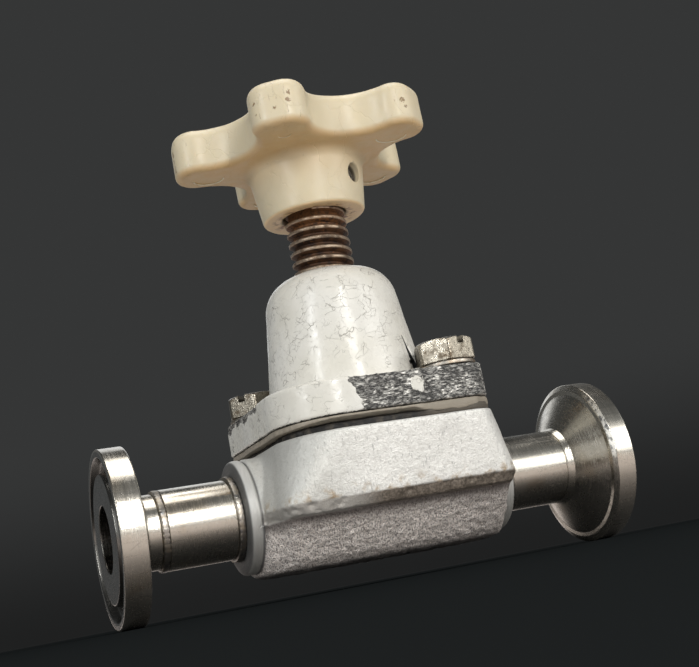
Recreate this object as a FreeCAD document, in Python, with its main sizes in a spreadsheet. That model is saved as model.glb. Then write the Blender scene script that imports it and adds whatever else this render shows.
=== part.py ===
import FreeCAD, Part
import math
import os
import Sketcher

# Diaphragm valve, weir type, with clamp ferrules and a five-lobed handwheel, in millimetres.
# Origin: where the flow axis (X) crosses the spindle axis (+Z up). The inlet is on the -X side.
# The valve is shown fully open, which is the rest position.

SIZES = {
    # Flow line along X
    "face_to_face": 78.0,
    "rim_dia": 25.0,
    "rim_width": 3.5,
    "bore_dia": 9.4,
    "tube_dia": 11.4,
    "groove_dia": 20.4,
    "groove_width": 2.4,
    "groove_depth": 1.3,
    "neck_dia": 10.6,
    "neck_length": 3.3,
    "weld_width": 1.0,
    "weld_height": 0.25,
    "collar_weld_height": 1.2,
    "cone_length": 3.2,
    "cone_small_dia": 12.0,
    "cone_large_dia": 21.8,
    "flare_length": 0.7,
    # Forged body
    "collar_dia": 16.4,
    "collar_projection": 2.7,
    "body_top": 8.6,
    "wall_foot": 0.6,
    "lip_height": 1.5,
    "body_depth": 9.1,
    "block_length": 34.0,
    "skirt_length": 35.8,
    "skirt_depth": 32.8,
    "skirt_corner": 3.0,
    "lip_length": 34.6,
    "lip_depth": 31.2,
    "waist_depth": 26.6,
    "waist_drop": 1.2,
    "keel_depth": 18.0,
    "keel_bevel": 1.3,
    "bowl_dia": 19.6,
    "bowl_floor_dia": 18.4,
    "weir_width": 3.8,
    # Flange outline, shared by body, diaphragm, backing sheet and bonnet
    "bolt_edge_x": 4.8,
    "bolt_edge_y": 4.5,
    "broad_corner": 9.0,
    "bolt_corner": 4.0,
    "diaphragm_thickness": 1.0,
    "backing_thickness": 0.8,
    "boss_dia": 9.0,
    "boss_height": 2.6,
    "stud_dia": 3.8,
    "stud_grip": 1.6,
    "stud_head_dia": 6.4,
    "stud_head_height": 0.8,
    "stud_seat": 0.7,
    # Bonnet
    "bonnet_flange_height": 5.1,
    "dome_base_dia": 24.0,
    "dome_top_dia": 19.0,
    "dome_height": 19.1,
    "dome_shoulder": 5.4,
    "dome_root": 0.6,
    "bonnet_mouth_dia": 10.6,
    "cavity_dia": 17.6,
    "ceiling_drop": 10.1,
    "bush_dia": 12.8,
    "bush_length": 8.6,
    "slot_reach": 10.1,
    # Bonnet screws
    "bolt_inset_x": 1.0,
    "bolt_outset_y": 0.8,
    "bolt_dia": 4.8,
    "bolt_engagement": 7.0,
    "head_across": 7.94,
    "head_height": 3.4,
    "screw_slot_width": 1.2,
    "screw_slot_depth": 1.1,
    "front_slot_angle": -74.0,
    "rear_slot_angle": -134.5,
    "washer_dia": 8.4,
    "washer_height": 0.6,
    # Spindle and compressor
    "thread_dia": 9.525,
    "thread_pitch": 1.5875,
    "turns_to_close": 3.0,
    "thread_run_out": 1.0,
    "relief_dia": 8.2,
    "relief_length": 1.8,
    "journal_dia": 9.2,
    "tip_dia": 6.4,
    "pin_groove_dia": 5.0,
    "pin_groove_height": 1.5,
    "compressor_dia": 16.2,
    "compressor_height": 8.5,
    "compressor_floor": 3.0,
    "pin_level": 3.2,
    "retaining_pin_dia": 1.3,
    "retaining_pin_length": 13.0,
    "guide_pin_dia": 2.0,
    "guide_pin_level": 2.4,
    "guide_pin_tip": 9.7,
    "guide_pin_root": 4.6,
    "thrust_washer_dia": 12.0,
    "thrust_washer_height": 0.7,
    "stop_collar_dia": 13.2,
    "stop_collar_height": 2.4,
    "collar_pin_dia": 1.2,
    # Handwheel
    "hub_gap": 9.4,
    "hub_foot_dia": 16.1,
    "hub_root_dia": 17.8,
    "hub_height": 8.6,
    "hub_blend": 1.9,
    "rim_height": 7.2,
    "wheel_reach": 20.3,
    "valley_reach": 12.4,
    "valley_radius": 7.2,
    "lobe_corner": 3.4,
    "rim_rounding": 1.5,
    "wheel_angle": -118.6,
    "hub_mouth_dia": 10.8,
    "insert_dia": 12.2,
    "insert_depth": 2.0,
    "insert_length": 9.6,
    "spindle_end_gap": 0.4,
    "cap_dia": 14.6,
    "cap_height": 1.6,
    "set_screw_dia": 3.4,
    "set_screw_hole_dia": 4.0,
    "set_screw_recess": 0.9,
    "set_screw_level": 4.7,
    "set_screw_angle": -53.2,
    "hex_socket": 1.6,
    "hex_socket_depth": 1.2,
    # Clearances
    "slide_gap": 0.3,
    "running_gap": 0.06,
    "bolt_gap": 0.2,
    "stop_gap": 0.1,
}
LOBES = 5

doc = FreeCAD.newDocument("diaphragm_valve")
sheet = doc.addObject("Spreadsheet::Sheet", "Sizes")
for row, (alias, number) in enumerate(SIZES.items(), start=1):
    sheet.set(f"A{row}", alias)
    sheet.set(f"B{row}", str(number))
    sheet.setAlias(f"B{row}", alias)
doc.recompute()


class Length:
    """A number from the sheet together with the expression that gives it."""

    def __init__(self, value, text):
        self.value = float(value)
        self.text = text

    @staticmethod
    def of(item):
        return item if isinstance(item, Length) else Length(item, f"({item})")

    def __add__(self, other):
        other = Length.of(other)
        return Length(self.value + other.value, f"({self.text} + {other.text})")

    def __sub__(self, other):
        other = Length.of(other)
        return Length(self.value - other.value, f"({self.text} - {other.text})")

    def __mul__(self, factor):
        factor = Length.of(factor)
        return Length(self.value * factor.value, f"({self.text} * {factor.text})")

    def __truediv__(self, divisor):
        divisor = Length.of(divisor)
        return Length(self.value / divisor.value, f"({self.text} / {divisor.text})")

    def __neg__(self):
        return Length(-self.value, f"(-1 * {self.text})")


def size(alias):
    """The driving size with this alias."""
    return Length(sheet.get(alias), f"Sizes.{alias}")


ZERO = Length(0, "0")

# Levels along the spindle axis, worked out from the driving sizes
body_top = size("body_top")
diaphragm_top = body_top + size("diaphragm_thickness")
bonnet_foot = diaphragm_top + size("backing_thickness")
flange_top = bonnet_foot + size("bonnet_flange_height")
dome_top = flange_top + size("dome_height")
ceiling = dome_top - size("ceiling_drop")
travel = size("thread_pitch") * size("turns_to_close")
weir_crest = body_top - travel
compressor_foot = diaphragm_top + size("boss_height")
compressor_top = compressor_foot + size("compressor_height")
spindle_tip = compressor_foot + size("compressor_floor")
washer_top = compressor_top + size("thrust_washer_height")
hub_foot = dome_top + size("hub_gap")
wheel_foot = hub_foot + size("hub_height")
wheel_top = wheel_foot + size("rim_height")
insert_foot = hub_foot + size("insert_depth")
insert_top = insert_foot + size("insert_length")
cap_foot = wheel_top - size("cap_height")
collar_top = ceiling - size("stop_gap")
collar_foot = collar_top - size("stop_collar_height")
end_face = size("face_to_face") / 2
rim_back = end_face - size("rim_width")
bore_radius = size("bore_dia") / 2
collar_reach = size("skirt_length") / 2 + size("collar_projection")
bolt_offset_x = size("dome_base_dia") / 2 - size("bolt_inset_x")
bolt_offset_y = size("dome_base_dia") / 2 + size("bolt_outset_y")
flange_length = (bolt_offset_x + size("bolt_edge_x")) * 2
flange_depth = (bolt_offset_y + size("bolt_edge_y")) * 2
tube_radius = size("tube_dia") / 2


def bind(item, path, length):
    """Ties a property to its expression."""
    item.setExpression(path, length.text)


def new_body(label):
    body = doc.addObject("PartDesign::Body", label)
    body.Label = label
    return body


def new_sketch(body, role, name, height=None):
    """A sketch on one of the body's origin planes, raised along the plane's normal."""
    sketch = body.newObject("Sketcher::SketchObject", name)
    plane = next(item for item in body.Origin.OriginFeatures if item.Role == role)
    sketch.AttachmentSupport = [(plane, "")]
    sketch.MapMode = "FlatFace"
    if height is not None:
        bind(sketch, "AttachmentOffset.Base.z", height)
    return sketch


def pin_point(sketch, geometry, end, x, y):
    """Holds a point of the sketch at x, y from the sketch's origin."""
    for kind, length, axis in (("DistanceX", x, -2), ("DistanceY", y, -1)):
        if length.text == ZERO.text:
            sketch.addConstraint(Sketcher.Constraint("PointOnObject", geometry, end, axis))
        else:
            index = sketch.addConstraint(Sketcher.Constraint(kind, -1, 1, geometry, end, length.value))
            bind(sketch, f"Constraints[{index}]", length)


def draw_polygon(sketch, points):
    """A closed outline of straight lines through points given as (x, y) lengths."""
    vectors = [FreeCAD.Vector(x.value, y.value, 0) for x, y in points]
    first = sketch.GeometryCount
    count = len(points)
    for index in range(count):
        sketch.addGeometry(Part.LineSegment(vectors[index], vectors[(index + 1) % count]), False)
    for index in range(count):
        following = first + (index + 1) % count
        sketch.addConstraint(Sketcher.Constraint("Coincident", first + index, 2, following, 1))
    for index, (x, y) in enumerate(points):
        pin_point(sketch, first + index, 1, x, y)


def draw_circle(sketch, x, y, radius):
    index = sketch.addGeometry(Part.Circle(FreeCAD.Vector(x.value, y.value, 0), FreeCAD.Vector(0, 0, 1),
                                           radius.value), False)
    pin_point(sketch, index, 3, x, y)
    limit = sketch.addConstraint(Sketcher.Constraint("Radius", index, radius.value))
    bind(sketch, f"Constraints[{limit}]", radius)


def draw_box(sketch, left, right, bottom, top):
    draw_polygon(sketch, [(left, bottom), (right, bottom), (right, top), (left, top)])


def draw_plate(sketch, length, depth, broad, narrow):
    """A plate outline whose front-left and rear-right corners are broad and whose others are narrow."""
    half_x = length / 2
    half_y = depth / 2
    corners = [(1, -1, narrow), (1, 1, broad), (-1, 1, narrow), (-1, -1, broad)]
    arcs = []
    for sign_x, sign_y, radius in corners:
        centre_x = (half_x - radius) * sign_x
        centre_y = (half_y - radius) * sign_y
        start = {(1, -1): -90, (1, 1): 0, (-1, 1): 90, (-1, -1): 180}[(sign_x, sign_y)]
        circle = Part.Circle(FreeCAD.Vector(centre_x.value, centre_y.value, 0), FreeCAD.Vector(0, 0, 1),
                             radius.value)
        arc = Part.ArcOfCircle(circle, math.radians(start), math.radians(start + 90))
        index = sketch.addGeometry(arc, False)
        pin_point(sketch, index, 3, centre_x, centre_y)
        limit = sketch.addConstraint(Sketcher.Constraint("Radius", index, radius.value))
        bind(sketch, f"Constraints[{limit}]", radius)
        arcs.append(index)
    for here, beyond, kind in zip(arcs, arcs[1:] + arcs[:1], ("Vertical", "Horizontal") * 2):
        start = sketch.getPoint(here, 2)
        end = sketch.getPoint(beyond, 1)
        line = sketch.addGeometry(Part.LineSegment(start, end), False)
        sketch.addConstraint(Sketcher.Constraint("Tangent", here, 2, line, 1))
        sketch.addConstraint(Sketcher.Constraint("Tangent", line, 2, beyond, 1))


def feature(body, kind, name, sketch, **settings):
    """A PartDesign feature made from a sketch."""
    item = body.newObject(f"PartDesign::{kind}", name)
    item.Profile = sketch
    for key, value in settings.items():
        if isinstance(value, Length):
            bind(item, key, value)
        else:
            setattr(item, key, value)
    doc.recompute()
    return item


def turned(body, name, points, axis="V_Axis", kind="Revolution"):
    """A profile in the XZ plane turned about the spindle axis (V_Axis) or the flow axis (H_Axis)."""
    sketch = new_sketch(body, "XZ_Plane", f"{name}_profile")
    draw_polygon(sketch, points)
    return feature(body, kind, name, sketch, ReferenceAxis=(sketch, [axis]), Angle=360.0)


def ring(label, inner, outer, bottom, top):
    """A plain ring or disc about the spindle axis."""
    body = new_body(label)
    turned(body, f"{label}_turn", [(inner, bottom), (outer, bottom), (outer, top), (inner, top)])
    return body


def flow_ring(label, inner, outer, start, end):
    """A plain ring about the flow axis."""
    body = new_body(label)
    turned(body, f"{label}_turn", [(start, inner), (end, inner), (end, outer), (start, outer)], "H_Axis")
    return body


def edges_where(shape, test):
    return [f"Edge{index}" for index, edge in enumerate(shape.Edges, start=1) if test(edge)]


def round_edges(body, name, test, radius, kind="Fillet"):
    """Rounds or chamfers the edges of the body's last feature that pass the test."""
    base = body.Tip
    item = body.newObject(f"PartDesign::{kind}", name)
    item.Base = (base, edges_where(base.Shape, test))
    bind(item, "Radius" if kind == "Fillet" else "Size", radius)
    doc.recompute()
    return item


def is_circle_at(level, radius):
    """Test for a full circle about the spindle axis at this level and radius."""
    def test(edge):
        curve = edge.Curve
        if not isinstance(curve, Part.Circle):
            return False
        on_axis = math.hypot(curve.Center.x, curve.Center.y) < 1e-3
        return on_axis and abs(curve.Center.z - level.value) < 1e-3 and abs(curve.Radius - radius.value) < 1e-3
    return test


def flange_sheet(label, bottom, height, hole_dia, centre_dia=None):
    """A sheet with the flange outline and the holes for the bonnet screws."""
    body = new_body(label)
    outline = new_sketch(body, "XY_Plane", f"{label}_outline", bottom)
    draw_plate(outline, flange_length, flange_depth, size("broad_corner"), size("bolt_corner"))
    feature(body, "Pad", f"{label}_pad", outline, Length=height)
    holes = new_sketch(body, "XY_Plane", f"{label}_holes", bottom)
    for sign in (1, -1):
        draw_circle(holes, bolt_offset_x * sign, bolt_offset_y * -sign, hole_dia / 2)
    if centre_dia is not None:
        draw_circle(holes, ZERO, ZERO, centre_dia / 2)
    feature(body, "Pocket", f"{label}_drill", holes, Length=height, Reversed=True)
    return body


def bored_from_both_ends(body, name, inner_end):
    """Cuts the flow bore from both ends of the body up to inner_end from the spindle axis."""
    for side, sign in (("inlet", -1), ("outlet", 1)):
        start = inner_end * sign
        end = (collar_reach + 1) * sign
        points = [(start, ZERO), (end, ZERO), (end, bore_radius), (start, bore_radius)]
        turned(body, f"{name}_{side}", points, "H_Axis", "Groove")


def make_valve_body():
    """Forged block with a clamp collar at each end, a weir across the bore and the flange face on top."""
    body = new_body("valve_body")
    # Lower block: a waist under the lip, then flanks that slope in to the keel
    lip_foot = size("wall_foot") + size("lip_height")
    levels = [lip_foot, lip_foot + size("waist_drop"), size("body_depth") - size("keel_bevel"),
              size("body_depth")]
    halves = [size("waist_depth") / 2, size("waist_depth") / 2, size("keel_depth") / 2,
              size("keel_depth") / 2 - size("keel_bevel") * 2]
    right = [(half, -level) for half, level in zip(halves, levels)]
    left = [(-half, -level) for half, level in zip(halves, levels)][::-1]
    section = new_sketch(body, "YZ_Plane", "block_section")
    draw_polygon(section, right + left)
    feature(body, "Pad", "lower_block", section, Length=size("block_length"), Midplane=True)

    # Parting lip under the flange wall
    lip = new_sketch(body, "XY_Plane", "lip_outline", -lip_foot)
    draw_plate(lip, size("lip_length"), size("lip_depth"), size("skirt_corner"), size("skirt_corner"))
    edge_line = new_sketch(body, "XY_Plane", "parting_outline", -size("wall_foot"))
    draw_plate(edge_line, size("skirt_length"), size("skirt_depth"), size("skirt_corner"), size("skirt_corner"))
    feature(body, "AdditiveLoft", "parting_lip", lip, Sections=[edge_line], Ruled=True)

    # Flange wall: from the lip up to the sealing face, whose corners are broad where no screw is
    skirt = new_sketch(body, "XY_Plane", "skirt_outline", -size("wall_foot"))
    draw_plate(skirt, size("skirt_length"), size("skirt_depth"), size("skirt_corner"), size("skirt_corner"))
    top = new_sketch(body, "XY_Plane", "face_outline", body_top)
    draw_plate(top, flange_length, flange_depth, size("broad_corner"), size("bolt_corner"))
    feature(body, "AdditiveLoft", "flange_wall", skirt, Sections=[top], Ruled=True)

    collars = new_sketch(body, "YZ_Plane", "collar_section")
    draw_circle(collars, ZERO, ZERO, size("collar_dia") / 2)
    feature(body, "Pad", "collars", collars, Length=collar_reach * 2, Midplane=True)

    # Waterway: a bowl under the diaphragm, a well on each side of the weir and the bores into them
    floor = size("bowl_floor_dia") / 2
    turned(body, "bowl", [(ZERO, weir_crest), (floor, weir_crest), (size("bowl_dia") / 2, body_top),
                          (ZERO, body_top)], kind="Groove")
    well_x = size("weir_width") / 2 + bore_radius
    wells = new_sketch(body, "XY_Plane", "well_outline")
    for sign in (1, -1):
        draw_circle(wells, well_x * sign, ZERO, bore_radius)
    feature(body, "Pocket", "wells", wells, Length=weir_crest + 1, Reversed=True)
    for side, sign in (("inlet", -1), ("outlet", 1)):
        ball = body.newObject("PartDesign::SubtractiveSphere", f"{side}_well_floor")
        bind(ball, "Radius", bore_radius)
        bind(ball, "Placement.Base.x", well_x * sign)
        doc.recompute()
    bored_from_both_ends(body, "bore", well_x)

    taps = new_sketch(body, "XY_Plane", "tap_outline", body_top)
    for sign in (1, -1):
        radius = size("bolt_dia") / 2 + size("running_gap")
        draw_circle(taps, bolt_offset_x * sign, bolt_offset_y * -sign, radius)
    feature(body, "Pocket", "taps", taps, Length=size("bolt_engagement") + size("bolt_gap"))
    return body


def make_inlet_ferrule():
    """Clamp ferrule with a flat back, a gasket groove in its face and a short weld neck."""
    body = new_body("inlet_ferrule")
    neck = size("neck_dia") / 2
    rim = size("rim_dia") / 2
    neck_end = rim_back - size("neck_length")
    turned(body, "inlet_ferrule_turn", [
        (-end_face, bore_radius), (-end_face, rim), (-rim_back, rim),
        (-(rim_back - size("weld_width")), neck), (-neck_end, neck), (-neck_end, bore_radius)], "H_Axis")
    cut_gasket_groove(body, -1)
    return body


def make_outlet_ferrule():
    """Clamp ferrule whose back is a cone that runs into the tube with a short flare."""
    body = new_body("outlet_ferrule")
    rim = size("rim_dia") / 2
    cone_foot = rim_back - size("cone_length")
    flare_foot = cone_foot - size("flare_length")
    turned(body, "outlet_ferrule_turn", [
        (flare_foot, bore_radius), (flare_foot, tube_radius), (cone_foot, size("cone_small_dia") / 2),
        (rim_back, size("cone_large_dia") / 2), (rim_back, rim), (end_face, rim), (end_face, bore_radius)],
        "H_Axis")
    cut_gasket_groove(body, 1)
    return body


def cut_gasket_groove(body, sign):
    """The gasket groove in the clamp face."""
    middle = size("groove_dia") / 2
    half = size("groove_width") / 2
    floor = (end_face - size("groove_depth")) * sign
    points = [(end_face * sign, middle - half), (end_face * sign, middle + half), (floor, middle + half / 2),
              (floor, middle - half / 2)]
    turned(body, "gasket_groove", points, "H_Axis", "Groove")


def make_tubes_and_welds():
    """Tube stubs on both sides, with the weld rings at the collars and at the inlet ferrule."""
    weld = size("weld_width")
    collar_weld = tube_radius + size("collar_weld_height")
    tube_start = collar_reach + weld
    neck_end = rim_back - size("neck_length")
    inlet_end = neck_end - weld
    flare_foot = rim_back - size("cone_length") - size("flare_length")
    return [
        flow_ring("inlet_tube", bore_radius, tube_radius, -inlet_end, -tube_start),
        flow_ring("outlet_tube", bore_radius, tube_radius, tube_start, flare_foot),
        flow_ring("ferrule_weld", bore_radius, tube_radius + size("weld_height"), -neck_end, -inlet_end),
        flow_ring("inlet_collar_weld", bore_radius, collar_weld, -tube_start, -collar_reach),
        flow_ring("outlet_collar_weld", bore_radius, collar_weld, collar_reach, tube_start),
    ]


def make_diaphragm():
    """Rubber sheet with a central boss that holds the head of the stud."""
    hole = size("bolt_dia") + size("bolt_gap") * 2
    body = flange_sheet("diaphragm", body_top, size("diaphragm_thickness"), hole)
    boss = size("boss_dia") / 2
    turned(body, "boss", [(ZERO, body_top), (boss, body_top), (boss, compressor_foot), (ZERO, compressor_foot)])
    head_foot = body_top + size("stud_seat")
    head_top = head_foot + size("stud_head_height")
    head = size("stud_head_dia") / 2
    shank = size("stud_dia") / 2
    turned(body, "stud_seat", [
        (ZERO, head_foot), (head, head_foot), (head, head_top), (shank, head_top), (shank, compressor_foot),
        (ZERO, compressor_foot)], kind="Groove")
    return body


def make_diaphragm_stud():
    """Metal stud moulded into the diaphragm and screwed into the compressor."""
    body = new_body("diaphragm_stud")
    head_foot = body_top + size("stud_seat")
    head_top = head_foot + size("stud_head_height")
    stud_top = compressor_foot + size("stud_grip")
    head = size("stud_head_dia") / 2
    shank = size("stud_dia") / 2
    turned(body, "stud_turn", [(ZERO, head_foot), (head, head_foot), (head, head_top), (shank, head_top),
                               (shank, stud_top), (ZERO, stud_top)])
    return body


def make_compressor():
    """Plunger that presses the diaphragm on the weir: a deep socket for the spindle tip and cross holes."""
    body = ring("compressor", ZERO, size("compressor_dia") / 2, compressor_foot, compressor_top)
    socket = size("tip_dia") / 2 + size("running_gap")
    turned(body, "socket", [(ZERO, spindle_tip - size("stop_gap")), (socket, spindle_tip - size("stop_gap")),
                            (socket, compressor_top), (ZERO, compressor_top)], kind="Groove")
    stud_hole = size("stud_dia") / 2 + size("running_gap")
    stud_depth = compressor_foot + size("stud_grip") + size("stop_gap")
    turned(body, "stud_hole", [(ZERO, compressor_foot), (stud_hole, compressor_foot), (stud_hole, stud_depth),
                               (ZERO, stud_depth)], kind="Groove")
    cross = new_sketch(body, "YZ_Plane", "cross_holes")
    for sign in (1, -1):
        draw_circle(cross, pin_offset() * sign, spindle_tip + size("pin_level"),
                    size("retaining_pin_dia") / 2)
    feature(body, "Pocket", "pin_holes", cross, Length=size("retaining_pin_length"), Midplane=True)
    guide = new_sketch(body, "YZ_Plane", "guide_holes")
    draw_circle(guide, ZERO, spindle_tip + size("guide_pin_level"), size("guide_pin_dia") / 2)
    feature(body, "Pocket", "guide_pin_holes", guide, Length=size("compressor_dia"), Midplane=True)
    return body


def pin_offset():
    """Distance of each retaining pin from the spindle axis: it lies in the groove of the spindle tip."""
    return size("pin_groove_dia") / 2 + size("retaining_pin_dia") / 2 + size("running_gap")


def make_retaining_pins():
    """Two cross pins in the groove of the spindle tip: they hold the compressor on the turning spindle."""
    pins = []
    for name, sign in (("front", -1), ("rear", 1)):
        pin = doc.addObject("Part::Cylinder", f"retaining_pin_{name}")
        bind(pin, "Radius", size("retaining_pin_dia") / 2)
        bind(pin, "Height", size("retaining_pin_length"))
        pin.Placement = FreeCAD.Placement(FreeCAD.Vector(), FreeCAD.Rotation(FreeCAD.Vector(0, 1, 0), 90))
        bind(pin, "Placement.Base.x", -size("retaining_pin_length") / 2)
        bind(pin, "Placement.Base.y", pin_offset() * sign)
        bind(pin, "Placement.Base.z", spindle_tip + size("pin_level"))
        pins.append(pin)
    return compound("retaining_pins", pins)


def make_guide_pins():
    """Two pins in the compressor that slide in the bonnet's grooves, so that the compressor can't turn."""
    pins = []
    for name, sign in (("inlet", -1), ("outlet", 1)):
        pin = doc.addObject("Part::Cylinder", f"guide_pin_{name}")
        bind(pin, "Radius", size("guide_pin_dia") / 2)
        bind(pin, "Height", size("guide_pin_tip") - size("guide_pin_root"))
        pin.Placement = FreeCAD.Placement(FreeCAD.Vector(), FreeCAD.Rotation(FreeCAD.Vector(0, 1, 0), 90 * sign))
        bind(pin, "Placement.Base.x", size("guide_pin_root") * sign)
        bind(pin, "Placement.Base.z", spindle_tip + size("guide_pin_level"))
        pins.append(pin)
    return compound("guide_pins", pins)


def compound(label, items):
    group = doc.addObject("Part::Compound", label)
    group.Label = label
    group.Links = items
    return group


def make_bonnet():
    """Painted bell with the flange below, a cavity for the compressor and a seat for the threaded bush."""
    hole = size("bolt_dia") + size("bolt_gap") * 2
    body = flange_sheet("bonnet", bonnet_foot, size("bonnet_flange_height"), hole)
    base = size("dome_base_dia") / 2
    top = size("dome_top_dia") / 2
    turned(body, "dome", [(ZERO, flange_top), (base, flange_top), (top, dome_top), (ZERO, dome_top)])
    round_edges(body, "dome_shoulder_round", is_circle_at(dome_top, top), size("dome_shoulder"))
    round_edges(body, "dome_root_round", is_circle_at(flange_top, base), size("dome_root"))
    cavity = size("cavity_dia") / 2
    seat = size("bush_dia") / 2
    mouth = size("bonnet_mouth_dia") / 2
    bush_top = ceiling + size("bush_length")
    turned(body, "cavity", [
        (ZERO, bonnet_foot), (cavity, bonnet_foot), (cavity, ceiling), (seat, ceiling), (seat, bush_top),
        (mouth, bush_top), (mouth, dome_top), (ZERO, dome_top)], kind="Groove")
    slots = new_sketch(body, "XY_Plane", "guide_slots", bonnet_foot)
    half = size("guide_pin_dia") / 2 + size("running_gap") * 2
    draw_box(slots, -size("slot_reach"), size("slot_reach"), -half, half)
    feature(body, "Pocket", "guide_slot_cut", slots, Length=ceiling - bonnet_foot, Reversed=True)
    return body


def make_screws():
    """Two slotted hexagon screws on a diagonal of the flange, each on a washer."""
    screws = []
    washers = []
    seat = flange_top + size("washer_height")
    for name, sign, angle in (("front", 1, "front_slot_angle"), ("rear", -1, "rear_slot_angle")):
        spot_x = bolt_offset_x * sign
        spot_y = bolt_offset_y * -sign
        head = doc.addObject("Part::Prism", f"screw_head_{name}")
        head.Polygon = 6
        bind(head, "Circumradius", size("head_across") / math.sqrt(3))
        bind(head, "Height", size("head_height"))
        slot = doc.addObject("Part::Box", f"screw_slot_{name}")
        bind(slot, "Length", size("head_across") * 2)
        bind(slot, "Width", size("screw_slot_width"))
        bind(slot, "Height", size("screw_slot_depth"))
        bind(slot, "Placement.Base.x", -size("head_across"))
        bind(slot, "Placement.Base.y", -size("screw_slot_width") / 2)
        bind(slot, "Placement.Base.z", size("head_height") - size("screw_slot_depth"))
        slotted = doc.addObject("Part::Cut", f"screw_slotted_{name}")
        slotted.Base = head
        slotted.Tool = slot
        shank = doc.addObject("Part::Cylinder", f"screw_shank_{name}")
        bind(shank, "Radius", size("bolt_dia") / 2)
        bind(shank, "Height", seat - body_top + size("bolt_engagement"))
        bind(shank, "Placement.Base.z", -(seat - body_top + size("bolt_engagement")))
        screw = doc.addObject("Part::Fuse", f"screw_{name}")
        screw.Base = slotted
        screw.Tool = shank
        screw.Placement = FreeCAD.Placement(FreeCAD.Vector(),
                                            FreeCAD.Rotation(FreeCAD.Vector(0, 0, 1), size(angle).value))
        bind(screw, "Placement.Base.x", spot_x)
        bind(screw, "Placement.Base.y", spot_y)
        bind(screw, "Placement.Base.z", seat)
        screws.append(screw)

        disc = doc.addObject("Part::Cylinder", f"washer_disc_{name}")
        bind(disc, "Radius", size("washer_dia") / 2)
        bind(disc, "Height", size("washer_height"))
        hole = doc.addObject("Part::Cylinder", f"washer_hole_{name}")
        bind(hole, "Radius", size("bolt_dia") / 2 + size("bolt_gap"))
        bind(hole, "Height", size("washer_height"))
        washer = doc.addObject("Part::Cut", f"washer_{name}")
        washer.Base = disc
        washer.Tool = hole
        bind(washer, "Placement.Base.x", spot_x)
        bind(washer, "Placement.Base.y", spot_y)
        bind(washer, "Placement.Base.z", flange_top)
        washers.append(washer)
    return [compound("bonnet_screws", screws), compound("screw_washers", washers)]


def make_spindle():
    """Threaded stem: a grooved tip in the compressor, the thread in the bush and a journal in the handwheel."""
    body = new_body("spindle")
    tip = size("tip_dia") / 2
    groove = size("pin_groove_dia") / 2
    thread = size("thread_dia") / 2
    relief = size("relief_dia") / 2
    journal = size("journal_dia") / 2
    groove_middle = spindle_tip + size("pin_level")
    groove_foot = groove_middle - size("pin_groove_height") / 2
    groove_top = groove_middle + size("pin_groove_height") / 2
    relief_foot = hub_foot - size("thread_run_out")
    relief_top = relief_foot + size("relief_length")
    spindle_top = cap_foot - size("spindle_end_gap")
    turned(body, "spindle_turn", [
        (ZERO, spindle_tip), (tip, spindle_tip), (tip, groove_foot), (groove, groove_foot),
        (groove, groove_top), (tip, groove_top), (tip, washer_top), (thread, washer_top),
        (thread, relief_foot), (relief, relief_foot), (relief, relief_top), (journal, relief_top),
        (journal, spindle_top), (ZERO, spindle_top)])
    cross = new_sketch(body, "XZ_Plane", "collar_pin_hole")
    draw_circle(cross, ZERO, (collar_foot + collar_top) / 2, size("collar_pin_dia") / 2)
    feature(body, "Pocket", "collar_pin_bore", cross, Length=size("thread_dia") * 2, Midplane=True)
    return body


def make_stop_collar():
    """Collar pinned to the spindle: it meets the bush when the valve is fully open."""
    collar = ring("stop_collar", size("thread_dia") / 2 + size("running_gap"), size("stop_collar_dia") / 2,
                  collar_foot, collar_top)
    cross = new_sketch(collar, "XZ_Plane", "collar_cross_hole")
    draw_circle(cross, ZERO, (collar_foot + collar_top) / 2, size("collar_pin_dia") / 2)
    feature(collar, "Pocket", "collar_drill", cross, Length=size("stop_collar_dia") * 2, Midplane=True)
    pin = doc.addObject("Part::Cylinder", "stop_collar_pin")
    pin.Label = "stop_collar_pin"
    bind(pin, "Radius", size("collar_pin_dia") / 2)
    bind(pin, "Height", size("stop_collar_dia") - size("slide_gap") * 2)
    pin.Placement = FreeCAD.Placement(FreeCAD.Vector(), FreeCAD.Rotation(FreeCAD.Vector(1, 0, 0), -90))
    bind(pin, "Placement.Base.y", -(size("stop_collar_dia") / 2 - size("slide_gap")))
    bind(pin, "Placement.Base.z", (collar_foot + collar_top) / 2)
    return [collar, pin]


def turn_to(item, alias):
    """Turns a finished sub-part about the spindle axis."""
    item.Placement = FreeCAD.Placement(FreeCAD.Vector(),
                                       FreeCAD.Rotation(FreeCAD.Vector(0, 0, 1), size(alias).value))


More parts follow.
